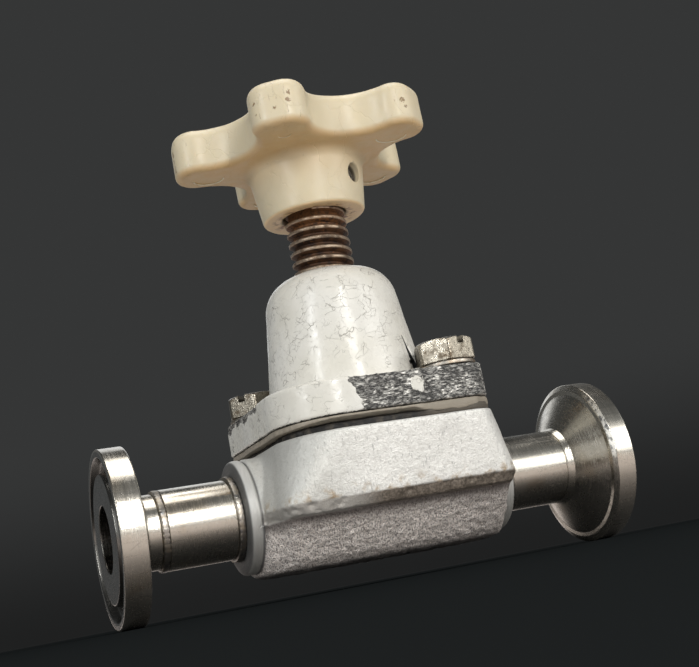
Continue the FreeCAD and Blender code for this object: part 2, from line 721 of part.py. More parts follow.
def make_handwheel():
    """Moulded five-lobed wheel with its hub below."""
    body = new_body("handwheel")
    disc = new_sketch(body, "XY_Plane", "wheel_disc", wheel_foot)
    draw_circle(disc, ZERO, ZERO, size("wheel_reach"))
    feature(body, "Pad", "wheel_pad", disc, Length=size("rim_height"))
    valley = new_sketch(body, "XY_Plane", "valley_outline", wheel_foot)
    middle = size("valley_reach") + size("valley_radius")
    half_lobe = math.pi / LOBES
    draw_circle(valley, middle * math.cos(half_lobe), middle * math.sin(half_lobe), size("valley_radius"))
    cut = feature(body, "Pocket", "valley_cut", valley, Length=size("rim_height"), Reversed=True)
    pattern = body.newObject("PartDesign::PolarPattern", "valleys")
    pattern.Originals = [cut]
    pattern.Axis = (valley, ["N_Axis"])
    pattern.Angle = 360.0
    pattern.Occurrences = LOBES
    body.Tip = pattern
    doc.recompute()
    reach = size("wheel_reach").value
    tall = size("rim_height").value

    def at_lobe_corner(edge):
        spot = edge.CenterOfMass
        return abs(edge.Length - tall) < 1e-3 and abs(math.hypot(spot.x, spot.y) - reach) < 1e-3

    round_edges(body, "lobe_corners", at_lobe_corner, size("lobe_corner"))

    def on_rim(edge):
        levels = {round(vertex.Z, 4) for vertex in edge.Vertexes}
        flat = levels in ({round(wheel_foot.value, 4)}, {round(wheel_top.value, 4)})
        return flat and math.hypot(edge.CenterOfMass.x, edge.CenterOfMass.y) > size("hub_root_dia").value / 2

    round_edges(body, "rim_round", on_rim, size("rim_rounding"))
    hub_root = size("hub_root_dia") / 2
    hub_top = wheel_foot + size("rim_height") / 2
    turned(body, "hub", [(ZERO, hub_foot), (size("hub_foot_dia") / 2, hub_foot), (hub_root, wheel_foot),
                         (hub_root, hub_top), (ZERO, hub_top)])
    round_edges(body, "hub_blend_round", is_circle_at(wheel_foot, hub_root), size("hub_blend"))
    mouth = size("hub_mouth_dia") / 2
    insert = size("insert_dia") / 2
    well = size("journal_dia") / 2 + size("slide_gap")
    cap = size("cap_dia") / 2
    turned(body, "insert_seat", [
        (ZERO, hub_foot), (mouth, hub_foot), (mouth, insert_foot), (insert, insert_foot), (insert, insert_top),
        (well, insert_top), (well, cap_foot), (cap, cap_foot), (cap, wheel_top), (ZERO, wheel_top)],
        kind="Groove")
    drill_for_set_screw(body, "hub_screw_hole", size("hub_root_dia"), size("set_screw_hole_dia"))
    turn_to(body, "wheel_angle")
    return body


def set_screw_turn():
    """Angle of the set screw in the handwheel's own frame."""
    return math.radians(size("set_screw_angle").value - size("wheel_angle").value)


def drill_for_set_screw(body, name, reach, diameter):
    """A radial hole from the spindle axis outwards at the set screw's angle."""
    drill = body.newObject("PartDesign::SubtractiveCylinder", name)
    bind(drill, "Radius", diameter / 2)
    bind(drill, "Height", reach)
    turn = set_screw_turn()
    direction = FreeCAD.Vector(math.cos(turn), math.sin(turn), 0)
    drill.Placement = FreeCAD.Placement(FreeCAD.Vector(), FreeCAD.Rotation(FreeCAD.Vector(0, 0, 1), direction))
    bind(drill, "Placement.Base.z", hub_foot + size("set_screw_level"))
    doc.recompute()


def make_handwheel_insert():
    """Brass insert moulded into the hub, bored for the spindle journal."""
    body = ring("handwheel_insert", size("journal_dia") / 2, size("insert_dia") / 2, insert_foot, insert_top)
    drill_for_set_screw(body, "insert_screw_hole", size("insert_dia"), size("set_screw_dia"))
    turn_to(body, "wheel_angle")
    return body


def make_set_screw():
    """Socket set screw that clamps the hub on the spindle."""
    body = new_body("set_screw")
    start = size("journal_dia") / 2
    length = size("hub_foot_dia") / 2 - size("set_screw_recess") - start
    level = hub_foot + size("set_screw_level")
    shank = new_sketch(body, "YZ_Plane", "set_screw_section", start)
    draw_circle(shank, ZERO, level, size("set_screw_dia") / 2)
    feature(body, "Pad", "set_screw_shank", shank, Length=length)
    socket = new_sketch(body, "YZ_Plane", "socket_section", start + length)
    corners = []
    for step in range(6):
        turn = math.pi / 3 * step
        reach = size("hex_socket") / math.sqrt(3)
        corners.append((reach * math.cos(turn), level + reach * math.sin(turn)))
    draw_polygon(socket, corners)
    feature(body, "Pocket", "socket_cut", socket, Length=size("hex_socket_depth"))
    turn_to(body, "set_screw_angle")
    return body


make_valve_body()
make_inlet_ferrule()
make_outlet_ferrule()
make_tubes_and_welds()
make_diaphragm()
make_diaphragm_stud()
flange_sheet("backing_sheet", diaphragm_top, size("backing_thickness"),
             size("bolt_dia") + size("bolt_gap") * 2, size("cavity_dia"))
make_compressor()
make_retaining_pins()
make_guide_pins()
ring("thrust_washer", size("tip_dia") / 2 + size("running_gap"), size("thrust_washer_dia") / 2,
     compressor_top, washer_top)
make_bonnet()
ring("bonnet_bush", size("thread_dia") / 2 + size("running_gap"), size("bush_dia") / 2, ceiling,
     ceiling + size("bush_length"))
make_screws()
make_spindle()
make_stop_collar()
make_handwheel()
make_handwheel_insert()
ring("handwheel_cap", ZERO, size("cap_dia") / 2, cap_foot, wheel_top)
make_set_screw()

NODES = [
    "valve_body", "inlet_ferrule", "outlet_ferrule", "inlet_tube", "outlet_tube", "ferrule_weld",
    "inlet_collar_weld", "outlet_collar_weld", "diaphragm", "backing_sheet", "diaphragm_stud", "compressor",
    "retaining_pins", "guide_pins", "thrust_washer", "bonnet", "bonnet_bush", "bonnet_screws",
    "screw_washers", "spindle", "stop_collar", "stop_collar_pin", "handwheel", "handwheel_insert",
    "handwheel_cap", "set_screw",
]

doc.recompute()
for item in doc.Objects:
    if any(word in item.State for word in ("Invalid", "Error")):
        raise RuntimeError(f"{item.Label} failed: {item.State}")

os.makedirs("parts", exist_ok=True)
for node in NODES:
    shape = doc.getObjectsByLabel(node)[0].Shape
    if shape.isNull() or not shape.isValid():
        raise RuntimeError(f"{node} has no valid shape")
    shape.exportStep(f"parts/{node}.step")
    box = shape.BoundBox
    print(f"{node}: {len(shape.Solids)} solids, {shape.Volume:.2f} mm3, z {box.ZMin:.2f} to {box.ZMax:.2f}")
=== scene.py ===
"""Looks of a diaphragm valve with clamp ferrules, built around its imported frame.

Shapes are worked out in millimetres and written to the meshes in metres. X runs along the flow,
Z up the spindle. Each sub-assembly is a class with its own sizes, meshes and finishes.
"""

import logging
import math
from abc import ABC, abstractmethod
from collections.abc import Iterator, Sequence
from contextlib import contextmanager
from dataclasses import dataclass, field
from enum import Enum
from functools import reduce

import bmesh
import bpy
import numpy as np
from mathutils import Matrix, Vector, noise
from mathutils.geometry import delaunay_2d_cdt

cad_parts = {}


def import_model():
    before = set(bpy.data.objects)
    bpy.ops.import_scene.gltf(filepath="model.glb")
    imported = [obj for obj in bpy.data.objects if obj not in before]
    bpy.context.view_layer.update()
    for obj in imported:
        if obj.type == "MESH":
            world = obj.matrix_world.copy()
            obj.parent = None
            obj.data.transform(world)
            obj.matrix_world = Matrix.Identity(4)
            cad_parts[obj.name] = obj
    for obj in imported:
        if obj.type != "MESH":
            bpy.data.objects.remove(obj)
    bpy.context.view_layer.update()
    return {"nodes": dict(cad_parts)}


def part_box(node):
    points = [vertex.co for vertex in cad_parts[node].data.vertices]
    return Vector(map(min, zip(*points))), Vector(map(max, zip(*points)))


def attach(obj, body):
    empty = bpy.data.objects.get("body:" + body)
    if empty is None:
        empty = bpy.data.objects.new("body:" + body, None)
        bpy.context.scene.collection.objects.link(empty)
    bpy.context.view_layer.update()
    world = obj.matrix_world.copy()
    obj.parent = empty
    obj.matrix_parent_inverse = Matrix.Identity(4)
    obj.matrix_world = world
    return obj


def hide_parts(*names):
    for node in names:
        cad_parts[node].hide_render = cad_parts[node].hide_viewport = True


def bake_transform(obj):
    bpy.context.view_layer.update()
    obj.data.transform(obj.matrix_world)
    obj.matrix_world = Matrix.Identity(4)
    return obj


LOG = logging.getLogger("diaphragm_valve")
MM = 0.001
MERGE = 1e-3 * MM
FULL_TURN = 2 * math.pi
Item = bpy.types.Object
Material = bpy.types.Material
Socket = bpy.types.NodeSocket
Colour = tuple[float, float, float]
Corner = tuple[float, float, float]
Profile = list[tuple[float, float]]


class Axis(Enum):
    """The line that a turned piece is turned about."""

    FLOW = "x"
    SPINDLE = "z"


class Body(Enum):
    """The bodies that pieces ride on."""

    VALVE = "valve"
    COMPRESSOR = "compressor"
    SPINDLE = "spindle"


def grey(level: float) -> Colour:
    """A neutral colour of this level."""
    return (level, level, level)


def fractal(points: np.ndarray, scale: float, octaves: int = 3, seed: float = 0.0) -> np.ndarray:
    """Smooth noise about zero at each point.

    Args:
        points: Places in millimetres, one per row.
        scale: Features per millimetre.
        octaves: Layers of finer noise.
        seed: Shift that gives another pattern.

    Returns:
        One value per point, mostly within -1 and 1.
    """
    shift = Vector((seed, seed * 1.7, seed * 0.6))
    return np.array([noise.fractal(Vector(point) * scale + shift, 1.0, 2.0, octaves) for point in points])


def smooth_step(values: np.ndarray, low: float, high: float) -> np.ndarray:
    """Rises smoothly from 0 at low to 1 at high."""
    share = np.clip((values - low) / (high - low), 0, 1)
    return share * share * (3 - 2 * share)


@contextmanager
def opened(mesh: bpy.types.Mesh) -> Iterator[bmesh.types.BMesh]:
    """Opens a mesh for editing and writes it back at the end.

    Args:
        mesh: The mesh.

    Returns:
        What the editing works on.
    """
    shell = bmesh.new()
    shell.from_mesh(mesh)
    yield shell
    shell.to_mesh(mesh)
    shell.free()


def new_object(name: str, data: bpy.types.ID) -> Item:
    """Puts an object in the scene at the origin.

    Args:
        name: The object's name.
        data: Its mesh, camera or lamp.

    Returns:
        The new object.
    """
    item = bpy.data.objects.new(name, data)
    bpy.context.scene.collection.objects.link(item)
    return item


def mesh_object(name: str, points: np.ndarray, faces: Sequence[Sequence[int]]) -> Item:
    """A smooth-shaded object from points in millimetres, merged where they coincide, facing outwards.

    Args:
        name: The piece's name.
        points: Places in millimetres, one per row.
        faces: Indices of each face's points.

    Returns:
        The new object.
    """
    mesh = bpy.data.meshes.new(name)
    mesh.from_pydata((np.asarray(points) * MM).tolist(), [], [tuple(face) for face in faces])
    with opened(mesh) as shell:
        bmesh.ops.remove_doubles(shell, verts=shell.verts, dist=MERGE)
        bmesh.ops.dissolve_degenerate(shell, edges=shell.edges, dist=MERGE / 10)
        bmesh.ops.recalc_face_normals(shell, faces=shell.faces)
    shade_smooth(mesh)
    return new_object(name, mesh)


def shade_smooth(mesh: bpy.types.Mesh) -> None:
    """Smooth shading on every face."""
    mesh.polygons.foreach_set("use_smooth", [True] * len(mesh.polygons))
    mesh.update()


def vectors(data: bpy.types.bpy_prop_collection, name: str) -> np.ndarray:
    """Reads one vector of each part of a mesh.

    Args:
        data: The mesh's vertices or normals.
        name: The vector's own name.

    Returns:
        The vectors, one per row.
    """
    flat = np.empty(len(data) * 3)
    data.foreach_get(name, flat)
    return flat.reshape(-1, 3)


def points_of(item: Item) -> np.ndarray:
    """The object's vertices in millimetres."""
    return vectors(item.data.vertices, "co") / MM


def set_points(item: Item, points: np.ndarray) -> None:
    """Writes the object's vertices from millimetres."""
    item.data.vertices.foreach_set("co", (points * MM).ravel())
    item.data.update()


def push(item: Item, amounts: np.ndarray) -> None:
    """Moves each vertex along its normal by an amount in millimetres."""
    normals = vectors(item.data.vertex_normals, "vector")
    set_points(item, points_of(item) + normals * amounts[:, None])


def set_attribute(item: Item, name: str, values: np.ndarray) -> None:
    """Stores one number per vertex, which a finish can read."""
    attribute = item.data.attributes.new(name, "FLOAT", "POINT")
    attribute.data.foreach_set("value", values.astype(np.float32))


def directions(columns: int) -> np.ndarray:
    """Evenly spaced angles for one full turn."""
    return np.arange(columns) * FULL_TURN / columns


def circle_ring(angles: np.ndarray, radius: float | np.ndarray, level: float) -> np.ndarray:
    """Points about the spindle axis at a level, at one radius or at one for each angle."""
    return np.column_stack([radius * np.cos(angles), radius * np.sin(angles), np.full(len(angles), level)])


def circle_rings(angles: np.ndarray, line: Profile) -> list[np.ndarray]:
    """A circle about the spindle axis for each (radius, level) of a line."""
    return [circle_ring(angles, radius, level) for radius, level in line]


def between(first: np.ndarray, second: np.ndarray, count: int) -> list[np.ndarray]:
    """Evenly spaced rings between two rings, without the two."""
    return [first + (second - first) * step / (count + 1) for step in range(1, count + 1)]


def ring_faces(rows: int, columns: int, closed: bool) -> list[tuple[int, int, int, int]]:
    """Quads between successive rings of points.

    Args:
        rows: Number of rings.
        columns: Points on each ring.
        closed: Whether the last ring joins the first.

    Returns:
        The faces, as indices into the rings laid end to end.
    """
    faces = []
    for row in range(rows if closed else rows - 1):
        here = row * columns
        beyond = (row + 1) % rows * columns
        for column in range(columns):
            side = (column + 1) % columns
            faces.append((here + column, here + side, beyond + side, beyond + column))
    return faces


def stacked(name: str, rings: Sequence[np.ndarray]) -> Item:
    """A closed piece from rings of points, of which the last joins the first."""
    return mesh_object(name, np.vstack(rings), ring_faces(len(rings), len(rings[0]), closed=True))


def bend(start: Vector, corner: Vector, end: Vector, steps: int) -> Profile:
    """Points of a curve that leaves start and reaches end in the direction of the corner between them.

    Args:
        start: The first point.
        corner: The corner that is rounded.
        end: The last point.
        steps: Pieces of the curve.

    Returns:
        The points, both ends among them.
    """
    line: Profile = []
    for step in range(steps + 1):
        share = step / steps
        point = start * (1 - share) ** 2 + corner * 2 * share * (1 - share) + end * share ** 2
        line.append((point.x, point.y))
    return line


def quarter_round(radius: float, steps: int) -> Profile:
    """How far a rounded edge stays back from each of its two sides, from one side to the other."""
    turns = [math.pi / 2 * step / steps for step in range(steps + 1)]
    return [(radius * (1 - math.sin(turn)), radius * (1 - math.cos(turn))) for turn in turns]


def softened(profile: Sequence[Corner], steps: int = 4) -> Profile:
    """Rounds the corners of a closed profile.

    Args:
        profile: Corners as (along, out, rounding radius).
        steps: Pieces in each rounding.

    Returns:
        The closed profile's points as (along, out).
    """
    result: Profile = []
    for index, (along, out, radius) in enumerate(profile):
        if radius <= 0:
            result.append((along, out))
            continue
        here = Vector((along, out))
        back = Vector(profile[index - 1][:2]) - here
        ahead = Vector(profile[(index + 1) % len(profile)][:2]) - here
        reach = min(radius / math.tan(back.angle(ahead) / 2), 0.48 * back.length, 0.48 * ahead.length)
        result += bend(here + back.normalized() * reach, here, here + ahead.normalized() * reach, steps)
    return result


def densified(profile: Profile, spacing: float = 1.2, hold: float = 0.12) -> Profile:
    """Adds points on a closed profile's long stretches, and one close to each of their ends.

    Args:
        profile: Points as (along, out).
        spacing: Longest stretch that is kept whole.
        hold: Distance of the extra points from the ends.

    Returns:
        The finer profile.
    """
    result: Profile = []
    for index, start in enumerate(profile):
        end = profile[(index + 1) % len(profile)]
        length = math.dist(start, end)
        result.append(start)
        if length <= hold * 4:
            continue
        count = max(1, math.ceil((length - 2 * hold) / spacing))
        for step in range(count + 1):
            share = (hold + (length - 2 * hold) * step / count) / length
            result.append((start[0] + (end[0] - start[0]) * share, start[1] + (end[1] - start[1]) * share))
    return result


def turned(name: str, corners: Sequence[Corner], axis: Axis, columns: int) -> Item:
    """A closed ring-shaped piece turned from a profile.

    Args:
        name: The piece's name.
        corners: The profile's corners as (along the axis, radius, rounding).
        axis: The line that it is turned about.
        columns: Points round the axis.

    Returns:
        The new object.
    """
    rings = circle_rings(directions(columns), [(out, along) for along, out in densified(softened(corners))])
    if axis is Axis.FLOW:
        rings = [ring[:, [2, 0, 1]] for ring in rings]
    return stacked(name, rings)


def baked(item: Item) -> Item:
    """Turns the modifiers' result into the object's own mesh.

    Args:
        item: The object.

    Returns:
        The same object, without modifiers.
    """
    graph = bpy.context.evaluated_depsgraph_get()
    graph.update()
    mesh = bpy.data.meshes.new_from_object(item.evaluated_get(graph))
    item.modifiers.clear()
    item.data = mesh
    mesh.name = item.name
    return item


def cut_with(item: Item, tool: Item) -> None:
    """Cuts the tool's volume out of the object and removes the tool.

    Args:
        item: The object that is cut.
        tool: The closed shape that is taken away.
    """
    cutter = item.modifiers.new("cut", "BOOLEAN")
    cutter.operation = "DIFFERENCE"
    cutter.solver = "EXACT"
    cutter.object = tool
    baked(item)
    bpy.data.objects.remove(tool)


def dress(item: Item, material: Material) -> None:
    """Gives the object this material alone."""
    item.data.materials.clear()
    item.data.materials.append(material)


def finish_piece(item: Item, body: Body, slot: str, material: Material | None, *nodes: str) -> None:
    """Gives a piece its material and body, and hides the nodes that it stands for.

    Args:
        item: The piece.
        body: The body that it rides on.
        slot: Not used.
        material: Its finish, or None where it already has one.
        nodes: The nodes that it replaces.
    """
    if material is not None:
        dress(item, material)
    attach(item, body.value)
    if nodes:
        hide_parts(*nodes)
    LOG.info("%s: %d faces on %s", item.name, len(item.data.polygons), body.value)


class Value:
    """A node's output, which the usual signs combine through Math nodes."""

    def __init__(self, wiring: "Wiring", socket: Socket) -> None:
        """Keeps the output and the tree that it is in."""
        self.wiring = wiring
        self.socket = socket

    def math(self, operation: str, first: "Value | float", second: "Value | float" = 0.0) -> "Value":
        """A Math node's result."""
        return self.wiring.add("ShaderNodeMath", {0: first, 1: second}, operation=operation)

    def __add__(self, other: "Value | float") -> "Value":
        """The sum."""
        return self.math("ADD", self, other)

    def __sub__(self, other: "Value | float") -> "Value":
        """The difference."""
        return self.math("SUBTRACT", self, other)

    def __rsub__(self, other: float) -> "Value":
        """A plain number less this value."""
        return self.math("SUBTRACT", other, self)

    def __mul__(self, other: "Value | float") -> "Value":
        """The product."""
        return self.math("MULTIPLY", self, other)

    def __truediv__(self, other: "Value | float") -> "Value":
        """The quotient."""
        return self.math("DIVIDE", self, other)

    def __abs__(self) -> "Value":
        """The value without its sign."""
        return self.math("ABSOLUTE", self)

    def most(self, other: "Value | float") -> "Value":
        """The larger of the two."""
        return self.math("MAXIMUM", self, other)

    def rise(self, low: float, high: float, start: float = 0.0, end: float = 1.0) -> "Value":
        """Start below low, end above high, and a smooth step between them."""
        levels = {"Value": self, "From Min": low, "From Max": high, "To Min": start, "To Max": end}
        return self.wiring.add("ShaderNodeMapRange", levels, "Result", interpolation_type="SMOOTHSTEP")

    def fall(self, low: float, high: float) -> "Value":
        """1 below low, 0 above high, and a smooth step between them."""
        return self.rise(low, high, 1.0, 0.0)

    def mix(self, first: "Value | Colour", second: "Value | Colour") -> "Value":
        """First where this value is 0, second where it is 1."""
        return self.wiring.add("ShaderNodeMix", {"Factor": self, 6: first, 7: second}, 2, data_type="RGBA")


class Wiring:
    """A node tree while it is built."""

    def __init__(self, tree: bpy.types.NodeTree) -> None:
        """Starts on a tree."""
        self.tree = tree

    def put(self, target: Socket, value: "Value | float | tuple | Material") -> None:
        """Links a value to the target, or writes a plain one there.

        Args:
            target: The input.
            value: A node's output, or what the input is set to.
        """
        if isinstance(value, Value):
            self.tree.links.new(value.socket, target)
        elif isinstance(value, tuple) and len(target.default_value) > len(value):
            target.default_value = (*value, 1.0)
        else:
            target.default_value = value

    def add(self, kind: str, inputs: "dict[str | int, Value | float | tuple | Material] | None" = None,
            output: str | int = 0, **settings: object) -> Value:
        """Adds a node with its settings made and its inputs linked or written.

        Args:
            kind: The node's type name.
            inputs: What goes into each input, by the input's name or number.
            output: Name or number of the output that is wanted.
            settings: The node's own settings.

        Returns:
            The wanted output.
        """
        node = self.tree.nodes.new(kind)
        for name, value in settings.items():
            setattr(node, name, value)
        for name, value in (inputs or {}).items():
            self.put(node.inputs[name], value)
        return Value(self, node.outputs[output])

    def split(self, vector: Value) -> list[Value]:
        """The three numbers of a vector."""
        first = self.add("ShaderNodeSeparateXYZ", {0: vector})
        return [Value(self, output) for output in first.socket.node.outputs]

    def ray(self, kind: str) -> Value:
        """1 for a ray of this kind, such as Camera, Glossy or Transmission."""
        return self.add("ShaderNodeLightPath", output=f"Is {kind} Ray")


class Shade(Wiring):
    """A material's node tree while it is built."""

    def __init__(self, name: str) -> None:
        """Starts a material whose places are object coordinates in millimetres.

        Args:
            name: The material's name.
        """
        self.material = bpy.data.materials.new(name)
        self.material.use_nodes = True
        super().__init__(self.material.node_tree)
        self.surface = self.tree.nodes["Principled BSDF"]
        metres = self.add("ShaderNodeTexCoord", output="Object")
        self.place = self.add("ShaderNodeVectorMath", {0: metres, "Scale": 1 / MM}, operation="SCALE")
        self.x, self.y, self.z = self.split(self.place)

    def noise(self, scale: float, detail: float = 3.0, roughness: float = 0.5,
              place: Value | None = None) -> Value:
        """Noise from 0 to 1 with this many features per millimetre."""
        sizes = {"Vector": place or self.place, "Scale": scale, "Detail": detail, "Roughness": roughness}
        return self.add("ShaderNodeTexNoise", sizes, "Fac")

    def cracks(self, scale: float, place: Value) -> Value:
        """Distance to the nearest border of a cell pattern, 0 on the border."""
        sizes = {"Vector": place, "Scale": scale}
        return self.add("ShaderNodeTexVoronoi", sizes, "Distance", feature="DISTANCE_TO_EDGE")

    def warped(self, amount: float, scale: float) -> Value:
        """The place shifted by smooth noise, so that patterns on it wander.

        Args:
            amount: Largest shift in millimetres.
            scale: Features of the noise per millimetre.

        Returns:
            The shifted place.
        """
        cloud = self.add("ShaderNodeTexNoise", {"Vector": self.place, "Scale": scale}, "Color")
        shift = self.add("ShaderNodeVectorMath", {0: cloud, "Scale": amount}, operation="SCALE")
        return self.add("ShaderNodeVectorMath", {0: self.place, 1: shift}, operation="ADD")

    def stretched(self, x: float, y: float, z: float, turn: float = 0.0) -> Value:
        """The place turned about Z and scaled by a factor along each axis."""
        sizes = {"Vector": self.place, "Rotation": (0.0, 0.0, turn), "Scale": (x, y, z)}
        return self.add("ShaderNodeMapping", sizes)

    def near(self, spot: Corner, inner: float, outer: float) -> Value:
        """1 within the inner distance of a spot, falling to 0 at the outer distance."""
        distance = self.add("ShaderNodeVectorMath", {0: self.place, 1: spot}, "Value", operation="DISTANCE")
        return distance.fall(inner, outer)

    def attribute(self, name: str) -> Value:
        """A number that the mesh stores at each vertex."""
        return self.add("ShaderNodeAttribute", output="Fac", attribute_name=name)

    def radius(self, axis: Axis) -> Value:
        """Distance from the axis."""
        first, second = (self.y, self.z) if axis is Axis.FLOW else (self.x, self.y)
        return self.x.math("SQRT", first * first + second * second)

    def round_flow(self, around: float) -> Value:
        """A place for patterns round the flow axis.

        Args:
            around: How fast the pattern changes round the axis: a small factor gives long streaks.

        Returns:
            The place.
        """
        reach = self.radius(Axis.FLOW)
        rim = reach.most(0.01)
        spot = {0: self.y / rim * around, 1: self.z / rim * around, 2: self.x + reach}
        return self.add("ShaderNodeCombineXYZ", spot)

    def bump(self, height: Value, depth: float) -> Value:
        """A normal from a height of 0 to 1 that stands for depth in millimetres."""
        return self.add("ShaderNodeBump", {"Strength": 1.0, "Distance": depth * MM, "Height": height})

    def done(self, colour: Value, metallic: Value | float, roughness: Value | float,
             normal: Value | None = None, more: dict[str, float | Colour] | None = None) -> Material:
        """Writes the surface's own sockets.

        Args:
            colour: Its base colour.
            metallic: How far it is a metal.
            roughness: Its roughness.
            normal: Its bumps.
            more: What else is set, by the socket's name.

        Returns:
            The material.
        """
        sockets = {"Base Color": colour, "Metallic": metallic, "Roughness": roughness, **(more or {})}
        if normal is not None:
            sockets["Normal"] = normal
        for name, value in sockets.items():
            self.put(self.surface.inputs[name], value)
        return self.material


class Finish(ABC):
    """A finish that several pieces may share."""

    @abstractmethod
    def build(self) -> Material:
        """Makes the material."""


@dataclass(frozen=True)
class IvoryPlastic(Finish):
    """Aged ivory plastic: warm tan below as painted shade on the underside, a lighter tone on the hub's foot
    as painted light, pale on the rim, with brown dirt on the lobe tips.
    """

    pale: Colour = (0.66, 0.57, 0.40)
    # warm: the tan that paints shade on the wheel's underside.
    warm: Colour = (0.69, 0.45, 0.21)
    aged: Colour = (0.66, 0.55, 0.35)
    foot_painted_light: Colour = (0.90, 0.64, 0.36)
    dirt: Colour = (0.19, 0.105, 0.035)
    rust: Colour = (0.26, 0.095, 0.035)
    hole_shadow: Colour = (0.045, 0.032, 0.022)
    hub_foot: float = 44.0
    wheel_foot: float = 52.6
    tip_reach: float = 17.2
    screw_hole: Corner = (4.43, -5.92, 48.7)
    spots: tuple[tuple[Corner, float], ...] = (
        ((-12.25, -16.06, 56.6), 0.9), ((-12.15, -16.13, 54.8), 0.6), ((-7.5, -18.7, 57.0), 0.8),
        ((-7.7, -18.6, 55.9), 0.8), ((-9.6, -17.8, 55.1), 0.5), ((-19.85, 2.3, 56.7), 1.3),
        ((-19.85, 2.4, 55.6), 1.0), ((-19.85, 2.3, 54.2), 1.3), ((11.1, -16.25, 56.2), 0.9),
        ((11.4, -16.15, 55.2), 0.6))

    def build(self) -> Material:
        """Makes the material."""
        shade = Shade("ivory_plastic")
        reach = shade.radius(Axis.SPINDLE)
        # Painted shade: the underside of the lobes is tinted tan, the tone that shade gives it.
        below = shade.z.fall(self.wheel_foot + 0.1, self.wheel_foot + 1.3)
        underside_shade = below * reach.rise(8.2, 10.2) * shade.noise(0.12).rise(0.2, 0.7, 0.75, 1.0)
        colour = underside_shade.mix(self.pale, self.warm)
        # Painted light: the hub's foot takes a lighter warm tone in place of the light that barely reaches it
        # from below.
        colour = shade.z.fall(self.hub_foot + 0.05, self.hub_foot + 0.4).mix(colour, self.foot_painted_light)
        colour = shade.noise(0.35, 4).rise(0.45, 0.75, 0.0, 0.22).mix(colour, self.aged)
        specks = shade.noise(2.4, 5, 0.75)
        worn = reduce(Value.most, [shade.near(spot, 0.0, size) for spot, size in self.spots])
        dirt = (worn * 0.30 + specks).rise(0.66, 0.74, 0.0, 0.9)
        tips = reach.rise(self.tip_reach, self.tip_reach + 2.2, 0.0, 0.5)
        faint = shade.noise(1.0, 5, 0.7, shade.stretched(2.2, 2.2, 0.6)).rise(0.60, 0.68)
        stray = specks.rise(0.70, 0.73) * 0.6
        colour = dirt.most(tips * faint).most(stray).mix(colour, self.dirt)
        mouth = reach.fall(5.3, 7.2) * shade.noise(0.9, 4).rise(0.48, 0.62)
        low = shade.z.fall(self.hub_foot + 2.2, self.hub_foot + 3.4)
        colour = (mouth * low).mix(colour, self.rust)
        colour = shade.near(self.screw_hole, 1.50, 1.62).mix(colour, self.hole_shadow)
        scratch = shade.cracks(0.16, shade.warped(2.4, 0.5)).fall(0.0, 0.012)
        height = shade.noise(0.5) - scratch * 0.5
        rough = shade.noise(0.8, 4).rise(0.3, 0.7, 0.36, 0.50)
        return shade.done(colour, 0.0, rough, shade.bump(height, 0.05), {
            "Subsurface Weight": 0.12, "Subsurface Radius": (1.2 * MM, 0.9 * MM, 0.5 * MM),
            "Coat Weight": 0.06, "Coat Roughness": 0.25})


@dataclass(frozen=True)
class PlainPlastic(Finish):
    """Plastic rubbed pale on raised marks."""

    name: str
    base: Colour
    wear: Colour = (0.8, 0.7, 0.55)

    def build(self) -> Material:
        """Makes the material."""
        shade = Shade(self.name)
        worn = shade.noise(1.2, 4, 0.6).rise(0.45, 0.65, 0.0, 0.5)
        colour = worn.mix(self.base, tuple(part * kept for part, kept in zip(self.base, self.wear)))
        return shade.done(colour, 0.0, shade.noise(0.8).rise(0.3, 0.7, 0.35, 0.5))


@dataclass(frozen=True)
class ChippedPaint(Finish):
    """White gloss paint over cast metal: the mesh's paint attribute is above zero where paint is left."""

    paint: Colour = (0.76, 0.742, 0.69)
    aged: Colour = (0.64, 0.61, 0.52)
    scratch: Colour = (0.26, 0.245, 0.21)
    metal_dark: Colour = grey(0.05)
    metal_light: Colour = (0.70, 0.69, 0.65)
    flange_top: float = 15.9

    def build(self) -> Material:
        """Makes the material."""
        shade = Shade("chipped_paint")
        edge = shade.attribute("paint") + (shade.noise(3.5, 4) - 0.5) * 0.5
        painted = edge.rise(-0.02, 0.02)
        colour = (shade.noise(0.10, 4).rise(0.35, 0.70) * 0.5).mix(self.paint, self.aged)
        region = shade.noise(0.15, 2, place=shade.warped(3.0, 0.2)).rise(0.35, 0.50)
        web = shade.cracks(0.24, shade.warped(4.5, 0.35)).fall(0.0, 0.015)
        fine_web = shade.cracks(0.60, shade.warped(2.6, 0.6)).rise(0.0, 0.020, 0.8, 0.0)
        lines = web.most(fine_web) * (region * shade.noise(0.55).rise(0.45, 0.56))
        scuff = shade.noise(2.2, 5, 0.65, shade.stretched(0.25, 0.25, 1.0, 0.6)).rise(0.66, 0.70)
        pits = shade.noise(2.4, 4, 0.7).rise(0.71, 0.74, 0.0, 0.6)
        lines = lines.most(scuff * 0.55).most(pits)
        colour = (lines * 0.9).mix(colour, self.scratch)
        grain = shade.noise(2.2, 4, 0.8, shade.stretched(0.55, 0.55, 1.7, 0.35)).rise(0.40, 0.60)
        metal = grain.mix(self.metal_dark, self.metal_light)
        metal = shade.noise(0.5, 2).rise(0.42, 0.65, 0.0, 0.6).mix(metal, grey(0.06))
        metal = shade.z.rise(self.flange_top, self.flange_top + 0.4).mix(metal, grey(0.012))
        # Painted shadow: the crack under the lifted flake is made near black and fully rough.
        gap = abs(shade.attribute("beside")).fall(0.85, 1.15)
        colour = gap.mix(painted.mix(metal, colour), grey(0.004))
        rough_paint = shade.noise(0.6, 4).rise(0.3, 0.7, 0.20, 0.36)
        rough = gap.mix(painted.mix(grey(0.55), rough_paint), grey(1.0))
        height = painted.mix(grain, shade.noise(0.35) * 0.7 - lines * 0.25)
        return shade.done(colour, edge.rise(-0.02, 0.02, 0.75, 0.0), rough, shade.bump(height, 0.12))


